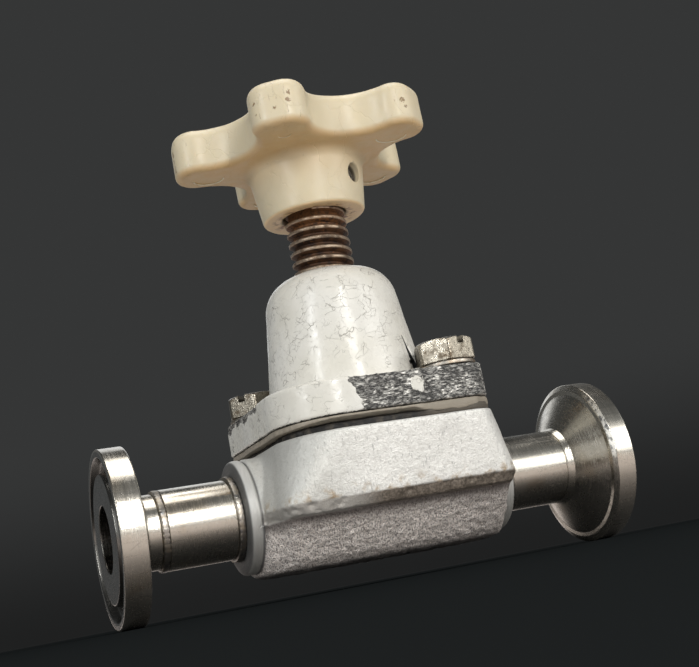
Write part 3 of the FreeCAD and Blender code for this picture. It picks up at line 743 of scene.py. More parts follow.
@dataclass(frozen=True)
class ForgedSteel(Finish):
    """Stainless forging: pale scratched wall, brown parting lip, shot-blasted flanks, satin collars; painted
    shade darkens parts of the wall, lip, flanks, keel and collars.
    """

    wall: Colour = (0.735, 0.728, 0.695)
    wall_cloud: Colour = (0.50, 0.49, 0.46)
    wall_mottle: Colour = (0.42, 0.405, 0.37)
    wall_shadow: Colour = (0.38, 0.38, 0.35)
    flank: Colour = (1.0, 0.90, 0.83)
    flank_pit: Colour = (0.30, 0.265, 0.245)
    flank_glint: Colour = (1.0, 0.94, 0.90)
    flank_grit: Colour = (0.10, 0.088, 0.08)
    flank_shade: Colour = (0.12, 0.10, 0.09)
    lip: Colour = (0.085, 0.070, 0.055)
    lip_worn: Colour = (0.24, 0.20, 0.16)
    lip_pale: Colour = (0.40, 0.38, 0.35)
    stain: Colour = (0.33, 0.235, 0.13)
    collar: Colour = (0.60, 0.595, 0.57)
    collar_painted_shade: Colour = (0.17, 0.162, 0.148)
    lip_top: float = -0.6
    lip_foot: float = -2.1
    collar_start: float = 18.5
    collar_radius: float = 8.45
    collar_end: float = 20.6

    def build(self) -> Material:
        """Makes the material."""
        shade = Shade("forged_steel")
        x, z = shade.x, shade.z
        fine = shade.noise(2.6, 4, 0.7)
        scratch = shade.noise(1.5, 5, 0.7, shade.stretched(2.2, 2.2, 0.35, 0.45)).rise(0.60, 0.66)
        wall = (shade.noise(0.11, 4).rise(0.36, 0.68) * 0.28).mix(self.wall, self.wall_cloud)
        wall = (shade.noise(2.4, 3, 0.75).rise(0.44, 0.66) * 0.30).mix(wall, self.wall_mottle)
        wall = (scratch * 0.42).mix(wall, grey(0.22))
        wall = (shade.noise(2.8, 4, 0.7).rise(0.67, 0.71) * 0.65).mix(wall, grey(0.12))
        wall = x.rise(-14.0, -3.0, 0.5, 0.0).mix(wall, self.wall_shadow)
        spill = z.fall(self.lip_top, self.lip_top + 2.4) * shade.noise(0.42, 4, 0.65).rise(0.50, 0.66)
        wall = (spill * 0.85).mix(wall, self.stain)
        # The parting lip's dark brown is partly its own stained colour and partly painted shade on the bevel
        # that faces down; on the left it takes a paler grey, painted shade like the wall's left end.
        lip = fine.rise(0.35, 0.7).mix(self.lip, self.lip_worn)
        lip = x.fall(-9.0, -3.0).mix(lip, self.lip_pale)
        coarse = shade.noise(2.8, 3, 0.8, shade.stretched(1.3, 1.0, 1.0))
        grit = shade.noise(4.6, 2, 0.8, shade.stretched(1.25, 1.0, 1.0))
        flank = coarse.rise(0.40, 0.56).mix(self.flank_pit, self.flank)
        flank = grit.rise(0.50, 0.60).mix(flank, self.flank_glint)
        flank = grit.rise(0.36, 0.46, 0.85, 0.0).mix(flank, self.flank_grit)
        flank = z.rise(-4.4, -2.4, 0.0, 0.8).mix(flank, self.flank_shade)
        # Painted shade: the keel below z -8.3 is made near black.
        flank = z.rise(-9.0, -8.3, 0.9, 0.0).mix(flank, grey(0.02))
        flank = x.rise(4.0, 17.0, 0.0, 0.32).mix(flank, self.flank_shade)
        on_wall = z.rise(self.lip_top - 0.15, self.lip_top + 0.2)
        below = z.fall(self.lip_foot - 0.3, self.lip_foot + 0.1)
        colour = below.mix(on_wall.mix(lip, wall), flank)
        outward = abs(x)
        near = shade.radius(Axis.FLOW).fall(self.collar_radius - 0.15, self.collar_radius + 0.15)
        ends = outward.rise(self.collar_start, self.collar_start + 0.4) * near
        # Painted shade: the collars darken towards their bottom.
        band = z.rise(-6.5, 1.0, 0.7, 0.0).mix(self.collar, self.collar_painted_shade)
        # Painted shade: the collars' end faces, recessed round the tube, are made dark grey.
        band = outward.rise(self.collar_end - 0.4, self.collar_end - 0.15, 0.0, 0.9).mix(band, grey(0.07))
        colour = ends.mix(colour, band)
        # Painted shade: the crease between each collar and the forging is darkened.
        crease = (outward.rise(self.collar_start, self.collar_start + 0.2)
                  * outward.fall(self.collar_start + 0.25, self.collar_start + 0.6))
        colour = (crease * (near * 0.8)).mix(colour, grey(0.06))
        rough = ends.mix(on_wall.mix(grey(0.46), fine.rise(0.3, 0.7, 0.34, 0.5)), grey(0.42))
        metallic = z.rise(self.lip_top - 0.2, self.lip_top + 0.3, 0.25, 0.30)
        peel = shade.noise(1.2, 5, 0.65) + shade.noise(3.8, 2, 0.7)
        height = below.mix(peel * 0.68 + scratch * -0.15, grit * 1.5 + coarse * 2.8)
        height = ends.mix(height, shade.noise(9.0, 2, place=shade.round_flow(0.3)))
        return shade.done(colour, metallic, rough, shade.bump(height, 0.13))


@dataclass(frozen=True)
class MachinedSteel(Finish):
    """Polished stainless with fine turning lines about the flow axis, light streaks and old scratches, a
    painted dark reflection on the end faces and a painted highlight on the outlet chamfer.
    """

    bright: Colour = (0.56, 0.53, 0.47)
    dull: Colour = (0.34, 0.31, 0.26)
    tint: Colour = (0.40, 0.32, 0.22)
    chamfer_highlight: Colour = (1.0, 0.98, 0.92)
    face: float = 37.6
    joint: float = 35.62
    rim: float = 12.5

    def build(self) -> Material:
        """Makes the material."""
        shade = Shade("machined_steel")
        lines = shade.noise(6.0, 3, 0.6, shade.round_flow(0.5))
        along = shade.noise(1.6, 4, 0.65, shade.stretched(0.10, 1.0, 1.0))
        colour = along.rise(0.45, 0.75, 0.0, 0.35).mix(self.bright, self.dull)
        colour = lines.rise(0.5, 0.8, 0.0, 0.18).mix(colour, grey(0.30))
        colour = shade.noise(0.16).rise(0.5, 0.72, 0.0, 0.45).mix(colour, self.tint)
        scratch = shade.cracks(0.12, shade.warped(1.2, 0.2)).fall(0.0, 0.006)
        scratch = scratch * shade.noise(0.6, 2).rise(0.5, 0.6)
        colour = (scratch * 0.6).mix(colour, grey(0.12))
        within = shade.radius(Axis.FLOW).fall(self.rim - 0.4, self.rim - 0.2)
        # Painted reflection: the ferrules' end faces are made dark grey, as a dark room would look in them.
        face = abs(shade.x).rise(self.face - 0.1, self.face) * within
        colour = (face * 0.80).mix(colour, grey(0.07))
        # Painted highlight: a ragged near-white band on the outlet chamfer, on the quarter that faces front
        # and up, broken by dark nicks.
        beyond = shade.x.fall(self.joint + 0.30, self.joint + 0.38)
        chamfer = shade.x.rise(self.joint - 0.08, self.joint) * beyond
        edge = chamfer * (shade.y.rise(-9.0, -6.0, 1.0, 0.15) * shade.z.rise(-3.0, 0.5))
        nicks_and_highlight = shade.noise(1.1, 4, 0.7).rise(0.40, 0.56).mix(grey(0.22), self.chamfer_highlight)
        colour = edge.mix(colour, nicks_and_highlight)
        rough = edge.mix((lines + along).rise(0.7, 1.3, 0.17, 0.30), grey(0.42))
        height = lines * 0.5 - scratch * 0.6
        return shade.done(colour, 1.0, rough, shade.bump(height, 0.008), {"Anisotropic": 0.4})


@dataclass(frozen=True)
class WeldedSteel(Finish):
    """Weld metal with a faint straw and blue heat tint."""

    base: Colour = (0.34, 0.32, 0.29)
    straw: Colour = (0.36, 0.29, 0.20)
    blue: Colour = (0.25, 0.27, 0.33)

    def build(self) -> Material:
        """Makes the material."""
        shade = Shade("welded_steel")
        cloud = shade.noise(0.8)
        colour = cloud.rise(0.45, 0.65, 0.0, 0.5).mix(self.base, self.straw)
        colour = shade.noise(1.3).rise(0.58, 0.7, 0.0, 0.4).mix(colour, self.blue)
        return shade.done(colour, 1.0, cloud.rise(0.3, 0.7, 0.25, 0.42), shade.bump(shade.noise(5.0), 0.03))


@dataclass(frozen=True)
class RustedThread(Finish):
    """Rusty brown thread whose crests are rubbed bright."""

    rust: Colour = (0.085, 0.040, 0.018)
    dark: Colour = (0.022, 0.012, 0.008)
    worn: Colour = (0.50, 0.40, 0.30)
    orange: Colour = (0.20, 0.085, 0.030)
    crest: float = 4.7625

    def build(self) -> Material:
        """Makes the material."""
        shade = Shade("rusted_thread")
        colour = shade.noise(0.7, 4, 0.6).rise(0.35, 0.65).mix(self.dark, self.rust)
        rusty = shade.z.rise(40.0, 43.2, 0.0, 0.20) + shade.noise(1.6, 5, 0.7)
        colour = rusty.rise(0.55, 0.75, 0.0, 0.8).mix(colour, self.orange)
        reach = shade.radius(Axis.SPINDLE) + (shade.noise(1.2, 4) - 0.5) * 0.10
        rubbed = (reach.rise(self.crest - 0.16, self.crest - 0.05)
                  * shade.noise(0.8, 4, 0.6).rise(0.35, 0.6, 0.25, 1.0))
        colour = (rubbed * 0.75).mix(colour, self.worn)
        return shade.done(colour, rubbed * 0.7 + 0.1, 0.55 - rubbed * 0.25,
                          shade.bump(shade.noise(3.5, 4, 0.7), 0.06), {"Specular IOR Level": 0.2})


@dataclass(frozen=True)
class PlainMetal(Finish):
    """A metal of one kind with mottling, stains and a fine grain."""

    name: str
    base: Colour
    stain: Colour
    amount: float = 0.6
    roughness: float = 0.34
    grain: float = 0.03

    def build(self) -> Material:
        """Makes the material."""
        shade = Shade(self.name)
        colour = shade.noise(0.55, 4, 0.6).rise(0.45, 0.66, 0.0, self.amount).mix(self.base, self.stain)
        deep = tuple(part * 0.3 for part in self.stain)
        colour = shade.noise(2.8, 4, 0.7).rise(0.60, 0.70, 0.0, 0.7).mix(colour, deep)
        rough = shade.noise(1.1, 4).rise(0.3, 0.7, self.roughness - 0.08, self.roughness + 0.12)
        return shade.done(colour, 0.95, rough, shade.bump(shade.noise(2.4, 4, 0.7), self.grain))


@dataclass(frozen=True)
class SheetRubber(Finish):
    """Moulded rubber sheet: matte, a little dusty, with a cut edge."""

    name: str
    base: Colour
    dust: Colour
    roughness: float = 0.7
    dusty_end: float = 0.0

    def build(self) -> Material:
        """Makes the material."""
        shade = Shade(self.name)
        dust = shade.noise(0.9, 5, 0.65).rise(0.42, 0.72, 0.0, 0.7)
        colour = dust.most(shade.x.rise(2.5, 6.0, 0.0, self.dusty_end)).mix(self.base, self.dust)
        streak = shade.noise(2.0, 4, 0.6, shade.stretched(0.4, 0.4, 3.0))
        rough = streak.rise(0.3, 0.7, self.roughness - 0.12, self.roughness + 0.1)
        return shade.done(colour, 0.0, rough, shade.bump(streak, 0.06))


@dataclass
class Plate:
    """Outline of the flange: two corners are broad and the two by the screws are narrow."""

    length: float = 31.6
    depth: float = 34.6
    broad: float = 9.0
    narrow: float = 4.0

    def reach(self, angles: np.ndarray, inset: float = 0.0) -> np.ndarray:
        """Distance from the axis to the outline in each direction.

        Args:
            angles: Directions about the spindle axis.
            inset: How far the outline is drawn in.

        Returns:
            One distance per direction.
        """
        east = np.cos(angles)
        north = np.sin(angles)
        corner = np.maximum(np.where(east * north > 0, self.broad, self.narrow) - inset, 0.2)
        half_x = self.length / 2 - inset
        half_y = self.depth / 2 - inset
        wide = np.maximum(np.abs(east), 1e-9)
        tall = np.maximum(np.abs(north), 1e-9)
        flat = np.minimum(half_x / wide, half_y / tall)
        centre_x = half_x - corner
        centre_y = half_y - corner
        toward = centre_x * wide + centre_y * tall
        inside = toward ** 2 - centre_x ** 2 - centre_y ** 2 + corner ** 2
        round_corner = toward + np.sqrt(np.maximum(inside, 0))
        in_corner = (flat * wide > centre_x) & (flat * tall > centre_y)
        return np.where(in_corner, round_corner, flat)

    def ring(self, angles: np.ndarray, inset: float, level: float) -> np.ndarray:
        """The drawn-in outline at a level, as points."""
        return circle_ring(angles, self.reach(angles, inset), level)


@dataclass
class Bonnet:
    """The painted bell with its flange."""

    plate: Plate = field(default_factory=Plate)
    columns: int = 620
    flange_height: float = 5.1
    flange_edge: float = 0.45
    dome_base: float = 12.0
    dome_top: float = 9.5
    shoulder: float = 5.4
    root: float = 0.6
    mouth: float = 5.3
    bush_radius: float = 6.4
    bush_length: float = 8.6
    cavity: float = 8.8
    paint_thickness: float = 0.16
    crack: tuple[tuple[float, float], ...] = ((-53.4, 22.3), (-51.7, 20.4), (-50.3, 18.4), (-49.3, 16.2))

    def dome_profile(self, flange_top: float, dome_top: float) -> Profile:
        """The bell's outer line from the flange to the spindle mouth.

        Args:
            flange_top: Level of the flange's top.
            dome_top: Level of the bell's top.

        Returns:
            The line's points as (radius, level).
        """
        wall = Vector((self.dome_top - self.dome_base, dome_top - flange_top)).normalized()
        corner = Vector((self.dome_base, flange_top))
        outer = Vector((self.dome_base + self.root, flange_top))
        line = bend(outer, corner, corner + wall * self.root, 6)
        lean = math.atan2(-wall.x, wall.y)
        reach = self.shoulder / math.tan((math.pi / 2 + lean) / 2)
        top = Vector((self.dome_top, dome_top))
        start = top - wall * reach
        centre = Vector((top.x - reach, dome_top - self.shoulder))
        foot = Vector(line[-1])
        rows = 44
        for step in range(1, rows):
            spot = foot + (start - foot) * step / rows
            line.append((spot.x, spot.y))
        arc = 34
        for step in range(arc + 1):
            turn = lean + (math.pi / 2 - lean) * step / arc
            radius = centre.x + self.shoulder * math.cos(turn)
            line.append((radius, centre.y + self.shoulder * math.sin(turn)))
        return [(radius, level) for radius, level in line if radius > self.mouth + 0.5]

    def build(self) -> Item:
        """Makes the bell from stacked rings, then lays the paint on it."""
        low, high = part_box("bonnet")
        foot = low.z / MM
        top = high.z / MM
        flange_top = foot + self.flange_height
        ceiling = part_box("bonnet_bush")[0].z / MM
        bush_top = ceiling + self.bush_length
        angles = directions(self.columns)
        edge = self.flange_edge
        rings = [circle_ring(angles, self.cavity, foot)]
        rings += between(rings[0], self.plate.ring(angles, edge, foot), 5)
        rings += [self.plate.ring(angles, side, foot + end) for side, end in quarter_round(edge, 5)]
        lower = self.plate.ring(angles, 0.0, foot + edge)
        rings += between(lower, self.plate.ring(angles, 0.0, flange_top - edge), 19)
        rings += [self.plate.ring(angles, side, flange_top - end) for end, side in quarter_round(edge, 5)]
        dome = circle_rings(angles, self.dome_profile(flange_top, top))
        rings += between(rings[-1], dome[0], 12) + dome
        rings += circle_rings(angles, [
            (self.mouth + 0.4, top), (self.mouth + 0.1, top - 0.1), (self.mouth, top - 0.4),
            (self.mouth, bush_top), (self.bush_radius, bush_top), (self.bush_radius, ceiling),
            (self.cavity, ceiling)])
        item = stacked("bonnet_bell", rings)
        self.lay_paint(item, foot, flange_top)
        return item

    def bare_distance(self, points: np.ndarray, foot: float, flange_top: float) -> np.ndarray:
        """Distance into the paint from its nearest edge, below zero where the metal is bare.

        Args:
            points: Places in millimetres.
            foot: Level of the flange's underside.
            flange_top: Level of the flange's top.

        Returns:
            One distance per point, in millimetres.
        """
        x, y, z = points.T
        wander = fractal(points, 0.55, 4, 3.0) * 0.9
        jag = fractal(points, 1.7, 3, 8.0) * 0.45
        level = (z - foot) / (flange_top - foot)
        start = -5.4 + 0.8 * np.sin(level * 5.2) + wander + jag
        end = 3.0 + wander * 2 + jag
        top_guard = (flange_top + 0.25 - z) * 1.5 + jag
        margin = np.maximum(0, self.plate.reach(np.arctan2(y, x)) - np.hypot(x, y))
        island = np.hypot((x - 3.9) / 0.9, (z - 13.5) / 1.0) - 1.05 + jag * 1.1 + (z - 13.5) * 0.25
        front = np.minimum.reduce([x - start, end - y, top_guard, 1.3 + wander - margin * 0.9,
                                   np.where(y < -12, island, 9.0)])
        seat = 4.9 + wander * 0.8 - np.hypot(x - 11.0, y + 12.8)
        seat = np.minimum(seat, (z - flange_top + 0.6) * 3)
        rear_seat = 4.8 + wander * 0.8 - np.hypot(x + 11.0, y - 12.8)
        left_top = np.minimum.reduce([z - (14.2 + wander * 1.1 + jag), -13.0 - x, y + 3.5 + wander,
                                      flange_top + 0.2 - z])
        foot_line = foot + 0.12 + np.abs(jag) * 0.5 - z
        return -np.maximum.reduce([front, seat, rear_seat, left_top, foot_line])

    def crack_offsets(self, points: np.ndarray) -> tuple[np.ndarray, np.ndarray]:
        """Place of each point beside the long crack in the bell's paint.

        Args:
            points: Places in millimetres.

        Returns:
            Sideways distance from the crack, positive to its right, and how far down the crack
            the point lies, from 0 to 1, or -1 beyond its ends.
        """
        turns, levels = np.array(self.crack)[::-1].T
        z = points[:, 2] + fractal(points, 0.6, 2, 5.0) * 0.10
        line = np.interp(z, levels, np.radians(turns))
        reach = np.hypot(points[:, 0], points[:, 1])
        side = (np.arctan2(points[:, 1], points[:, 0]) - line) * reach
        down = (levels[-1] - z) / (levels[-1] - levels[0])
        return side, np.where((down >= 0) & (down <= 1.05), down, -1.0)

    def lay_paint(self, item: Item, foot: float, flange_top: float) -> None:
        """Stores where paint is left, sinks the bare metal and opens the lifted flake.

        Args:
            item: The bell.
            foot: Level of the flange's underside.
            flange_top: Level of the flange's top.
        """
        points = points_of(item)
        outside = (np.hypot(points[:, 0], points[:, 1]) > self.mouth + 0.3) & (points[:, 2] > foot - 0.01)
        paint = self.bare_distance(points, foot, flange_top)
        side, down = self.crack_offsets(points)
        gap = np.where(down >= 0, 0.06 + 0.38 * down, 0.0)
        in_bell = points[:, 2] > flange_top + 0.2
        open_crack = in_bell & (down >= 0) & (np.abs(side) < 6)
        far_away = 99.0
        cast = fractal(points, 1.3, 4, 12.0)
        drop = -self.paint_thickness * smooth_step(-paint, 0.0, 0.22)
        drop += np.where(paint < 0, cast * 0.07, fractal(points, 0.22, 3, 21.0) * 0.05)
        lifted = np.exp(-(np.maximum(side - 0.5, 0) / 2.2) ** 1.6) * 0.55 * np.clip(down, 0, 1)
        drop += np.where(open_crack, lifted * smooth_step(side, 0.0, 0.5), 0)
        push(item, np.where(outside, drop, 0))
        set_attribute(item, "paint", paint)
        # The finish paints shadow into the crack from this sideways distance.
        set_attribute(item, "beside", np.where(open_crack, side / np.maximum(gap, 0.05), far_away))


@dataclass
class ClampedSheets:
    """The rubber diaphragm, which flexes, and its backing sheet, whose edges show in the seam."""

    plate: Plate = field(default_factory=Plate)
    columns: int = 480
    clearance: float = 0.02
    diaphragm_height: float = 1.0
    diaphragm_inset: float = 0.75
    backing_height: float = 0.8
    backing_inset: float = 0.18
    backing_inner: float = 8.8
    clamped_reach: float = 9.9
    pressed_reach: float = 8.2
    boss: float = 4.5
    stud: float = 1.9
    stud_head: float = 3.2
    stud_head_height: float = 0.8
    sectors: int = 12

    def levels(self, node: str) -> tuple[float, float]:
        """Levels of a sheet's two faces, a hair within the solid's own.

        Args:
            node: The sheet's node.

        Returns:
            The lower and the upper level.
        """
        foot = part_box(node)[0].z / MM + self.clearance
        height = self.diaphragm_height if node == "diaphragm" else self.backing_height
        return foot, foot + height - 2 * self.clearance

    def sheet(self, name: str, node: str, inset: float, inner: float, wobble: float, sag: float) -> Item:
        """A sheet with the flange outline and a soft, uneven edge.

        Args:
            name: The piece's name.
            node: The node that it stands for.
            inset: How far its edge lies inside the flange.
            inner: Radius of its open middle.
            wobble: How uneven its edge is.
            sag: How much its edge bulges.

        Returns:
            The new object.
        """
        foot, top = self.levels(node)
        angles = directions(self.columns)
        span = 16.0
        rough = fractal(circle_ring(angles, 1.0, 0.0) * span, 0.35, 4, inset * 10) * wobble
        rings = [circle_ring(angles, inner, foot)]
        rings += between(rings[0], self.plate.ring(angles, inset + 0.4, foot), 3)
        for step in range(9):
            turn = math.pi * (step / 8 - 0.5)
            ring = self.plate.ring(angles, inset + sag * (1 - math.cos(turn)),
                                   (foot + top) / 2 + (top - foot) / 2 * math.sin(turn))
            swell = smooth_step(ring[:, 0], 2.5, 5.5) * (ring[:, 1] < 0)
            low_part = (1 - math.sin(turn)) / 2
            if node == "diaphragm":
                ring[:, :2] *= (1 + (0.45 * swell - 0.5 * (1 - swell)) / span)[:, None]
            else:
                thin = smooth_step(ring[:, 0], -15.5, -9.0) * (1 - swell) * (ring[:, 1] < 0)
                ring[:, 2] += low_part * (0.42 * thin - swell * (0.45 + rough))
            ring[:, :2] *= (1 + np.minimum(rough, 0) / span)[:, None]
            rings.append(ring)
        last = circle_ring(angles, inner, top)
        rings += between(self.plate.ring(angles, inset + 0.4, top), last, 3)
        return stacked(name, rings + [last])

    def middle(self) -> Item:
        """The diaphragm's middle with the boss round the stud's head, which the compressor carries."""
        foot, top = self.levels("diaphragm")
        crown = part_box("diaphragm")[1].z / MM
        head_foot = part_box("diaphragm_stud")[0].z / MM
        head_top = head_foot + self.stud_head_height
        line = [(foot, 0.001, 0), (foot, self.pressed_reach, 0), (top, self.pressed_reach, 0),
                (top, self.boss, 0.2), (crown, self.boss, 0.3), (crown, self.stud, 0),
                (head_top, self.stud, 0), (head_top, self.stud_head, 0), (head_foot, self.stud_head, 0),
                (head_foot, 0.001, 0)]
        return turned("diaphragm_middle", line, Axis.SPINDLE, 96)

    def web(self, number: int) -> Item:
        """One sector of the ring that flexes between the clamped rim and the pressed middle.

        Args:
            number: The sector, counted from the +X side.

        Returns:
            The new object, a flat sector attached to neither body.
        """
        foot, top = self.levels("diaphragm")
        half = math.pi / self.sectors
        turn = number * 2 * half
        reach = np.linspace(self.pressed_reach, self.clamped_reach, 13)
        loop = np.concatenate([reach, reach[::-1]])
        level = np.repeat([foot, top], len(reach))
        rows = [np.column_stack([loop * math.cos(angle), loop * math.sin(angle), level])
                for angle in np.linspace(turn - half, turn + half, 9)]
        faces = ring_faces(len(rows), len(loop), closed=False)
        for start in (0, (len(rows) - 1) * len(loop)):
            end = start + len(loop) - 1
            faces += [(start + step, start + step + 1, end - step - 1, end - step)
                      for step in range(len(reach) - 1)]
        item = mesh_object(f"diaphragm_web_{number + 1}", np.vstack(rows), faces)
        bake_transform(item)
        return item

    def build(self, rubber: Material, pale: Material) -> None:
        """Makes and dresses both clamped sheets and the parts of the diaphragm that move.

        Args:
            rubber: The diaphragm's finish.
            pale: The backing sheet's finish.
        """
        rim = self.sheet("diaphragm_sheet", "diaphragm", self.diaphragm_inset, self.clamped_reach, 0.5, 0.15)
        backing = self.sheet("backing_layer", "backing_sheet", self.backing_inset, self.backing_inner,
                             0.35, 0.12)
        finish_piece(rim, Body.VALVE, "rubber", rubber, "diaphragm")
        finish_piece(self.middle(), Body.COMPRESSOR, "rubber", rubber, "diaphragm")
        for number in range(self.sectors):
            item = self.web(number)
            dress(item, rubber)
            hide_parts("diaphragm")
            LOG.info("%s: %d faces between two bodies", item.name, len(item.data.polygons))
        finish_piece(backing, Body.VALVE, "backing", pale, "backing_sheet")


@dataclass
class ValveBody:
    """The forged body, made from the frame's own solid with rounded and blasted surfaces."""

    voxel: float = 0.26
    block_half: float = 17.0
    block_top: float = -2.4
    lip_foot: float = -2.1
    lip_top: float = -0.6
    wall_half: float = 17.9
    collar: float = 8.2
    collar_end: float = 20.6
    fillet_end: float = 18.65
    fillet_reach: float = 11.4

    def build(self) -> Item:
        """Copies the body, meshes it evenly, rounds it and adds the forged skin."""
        mesh = bpy.data.objects["valve_body"].data.copy()
        with opened(mesh) as shell:
            bmesh.ops.remove_doubles(shell, verts=shell.verts, dist=MERGE)
        item = new_object("forged_body", mesh)
        remesh = item.modifiers.new("even", "REMESH")
        remesh.mode = "VOXEL"
        remesh.voxel_size = self.voxel * MM
        baked(item)
        self.round_over(item)
        self.add_skin(item)
        shade_smooth(item.data)
        return item

    def round_over(self, item: Item) -> None:
        """Smooths the mesh, most at the ends of the lower block.

        Args:
            item: The body.
        """
        edges = np.empty(len(item.data.edges) * 2, dtype=np.int64)
        item.data.edges.foreach_get("vertices", edges)
        edges = edges.reshape(-1, 2)
        points = points_of(item)
        count = np.bincount(edges.ravel(), minlength=len(points)).astype(float)
        x, y, z = points.T
        reach = np.hypot(y, z)
        ends = smooth_step(np.abs(x), self.block_half - 3.2, self.block_half - 1.6)
        low = smooth_step(-z, -self.block_top - 0.3, -self.block_top + 0.8)
        strong = ends * low * smooth_step(reach, 8.5, 9.2)
        mouth = smooth_step(np.abs(x), self.collar_end - 1.0, self.collar_end - 0.5)
        mouth *= smooth_step(reach, 6.6, 7.4)
        for turn in range(46):
            total = np.zeros_like(points)
            np.add.at(total, edges[:, 0], points[edges[:, 1]])
            np.add.at(total, edges[:, 1], points[edges[:, 0]])
            mean = total / count[:, None]
            weight = strong if turn >= 5 else np.maximum(strong, 0.55)
            weight = np.maximum(weight, mouth) if turn < 12 else weight
            points = points + (mean - points) * (weight * 0.9)[:, None]
        x, y, z = points.T
        face = np.where(z > self.lip_foot, self.wall_half, self.block_half)
        close = smooth_step(-np.hypot(y, z), -self.fillet_reach, -self.collar - 0.2)
        settle = 1 - smooth_step(np.abs(x), face, self.collar_end)
        at_face = smooth_step(np.abs(x), face - 2.5, face - 0.4)
        points[:, 0] += np.sign(x) * (close * (self.fillet_end - face)) * settle * at_face
        set_points(item, points)

    def add_skin(self, item: Item) -> None:
        """Adds the blasted grain of the flanks, the uneven parting lip and the wall's slight waves.

        Args:
            item: The body.
        """
        points = points_of(item)
        x, y, z = points.T
        reach = np.hypot(y, z)
        collar = smooth_step(np.abs(x), 18.3, 18.8) * smooth_step(-reach, -8.8, -8.4)
        inner = (reach < 5.2) | ((np.hypot(x, y) < 9.9) & (z > 3.0) & (z < 8.59))
        skin = np.where(inner, 0.0, 1.0) * (1 - collar)
        below = smooth_step(-z, -self.lip_foot - 0.1, -self.lip_foot + 0.4)
        grain = fractal(points, 1.05, 3, 2.0) * 0.20 + fractal(points, 0.35, 2, 7.0) * 0.12
        waves = fractal(points, 0.16, 3, 15.0) * 0.10 + fractal(points, 1.0, 3, 4.0) * 0.025
        on_lip = (smooth_step(z, self.lip_foot - 0.3, self.lip_foot + 0.2)
                  * smooth_step(-z, -self.lip_top - 0.2, -self.lip_top + 0.3))
        ragged = np.minimum(0, fractal(points, 0.7, 4, 31.0)) * 0.45
        sealed = smooth_step(z, 8.35, 8.55)
        crease = np.exp(-((np.abs(x) - self.fillet_end - 0.1) / 0.24) ** 2) * smooth_step(-reach, -9.2, -8.5)
        crease *= smooth_step(reach, 6.8, 7.4)
        amount = (grain * below + waves * (1 - below) + ragged * on_lip) * skin * (1 - sealed)
        push(item, np.minimum(amount, 0.16) - crease * 0.34)


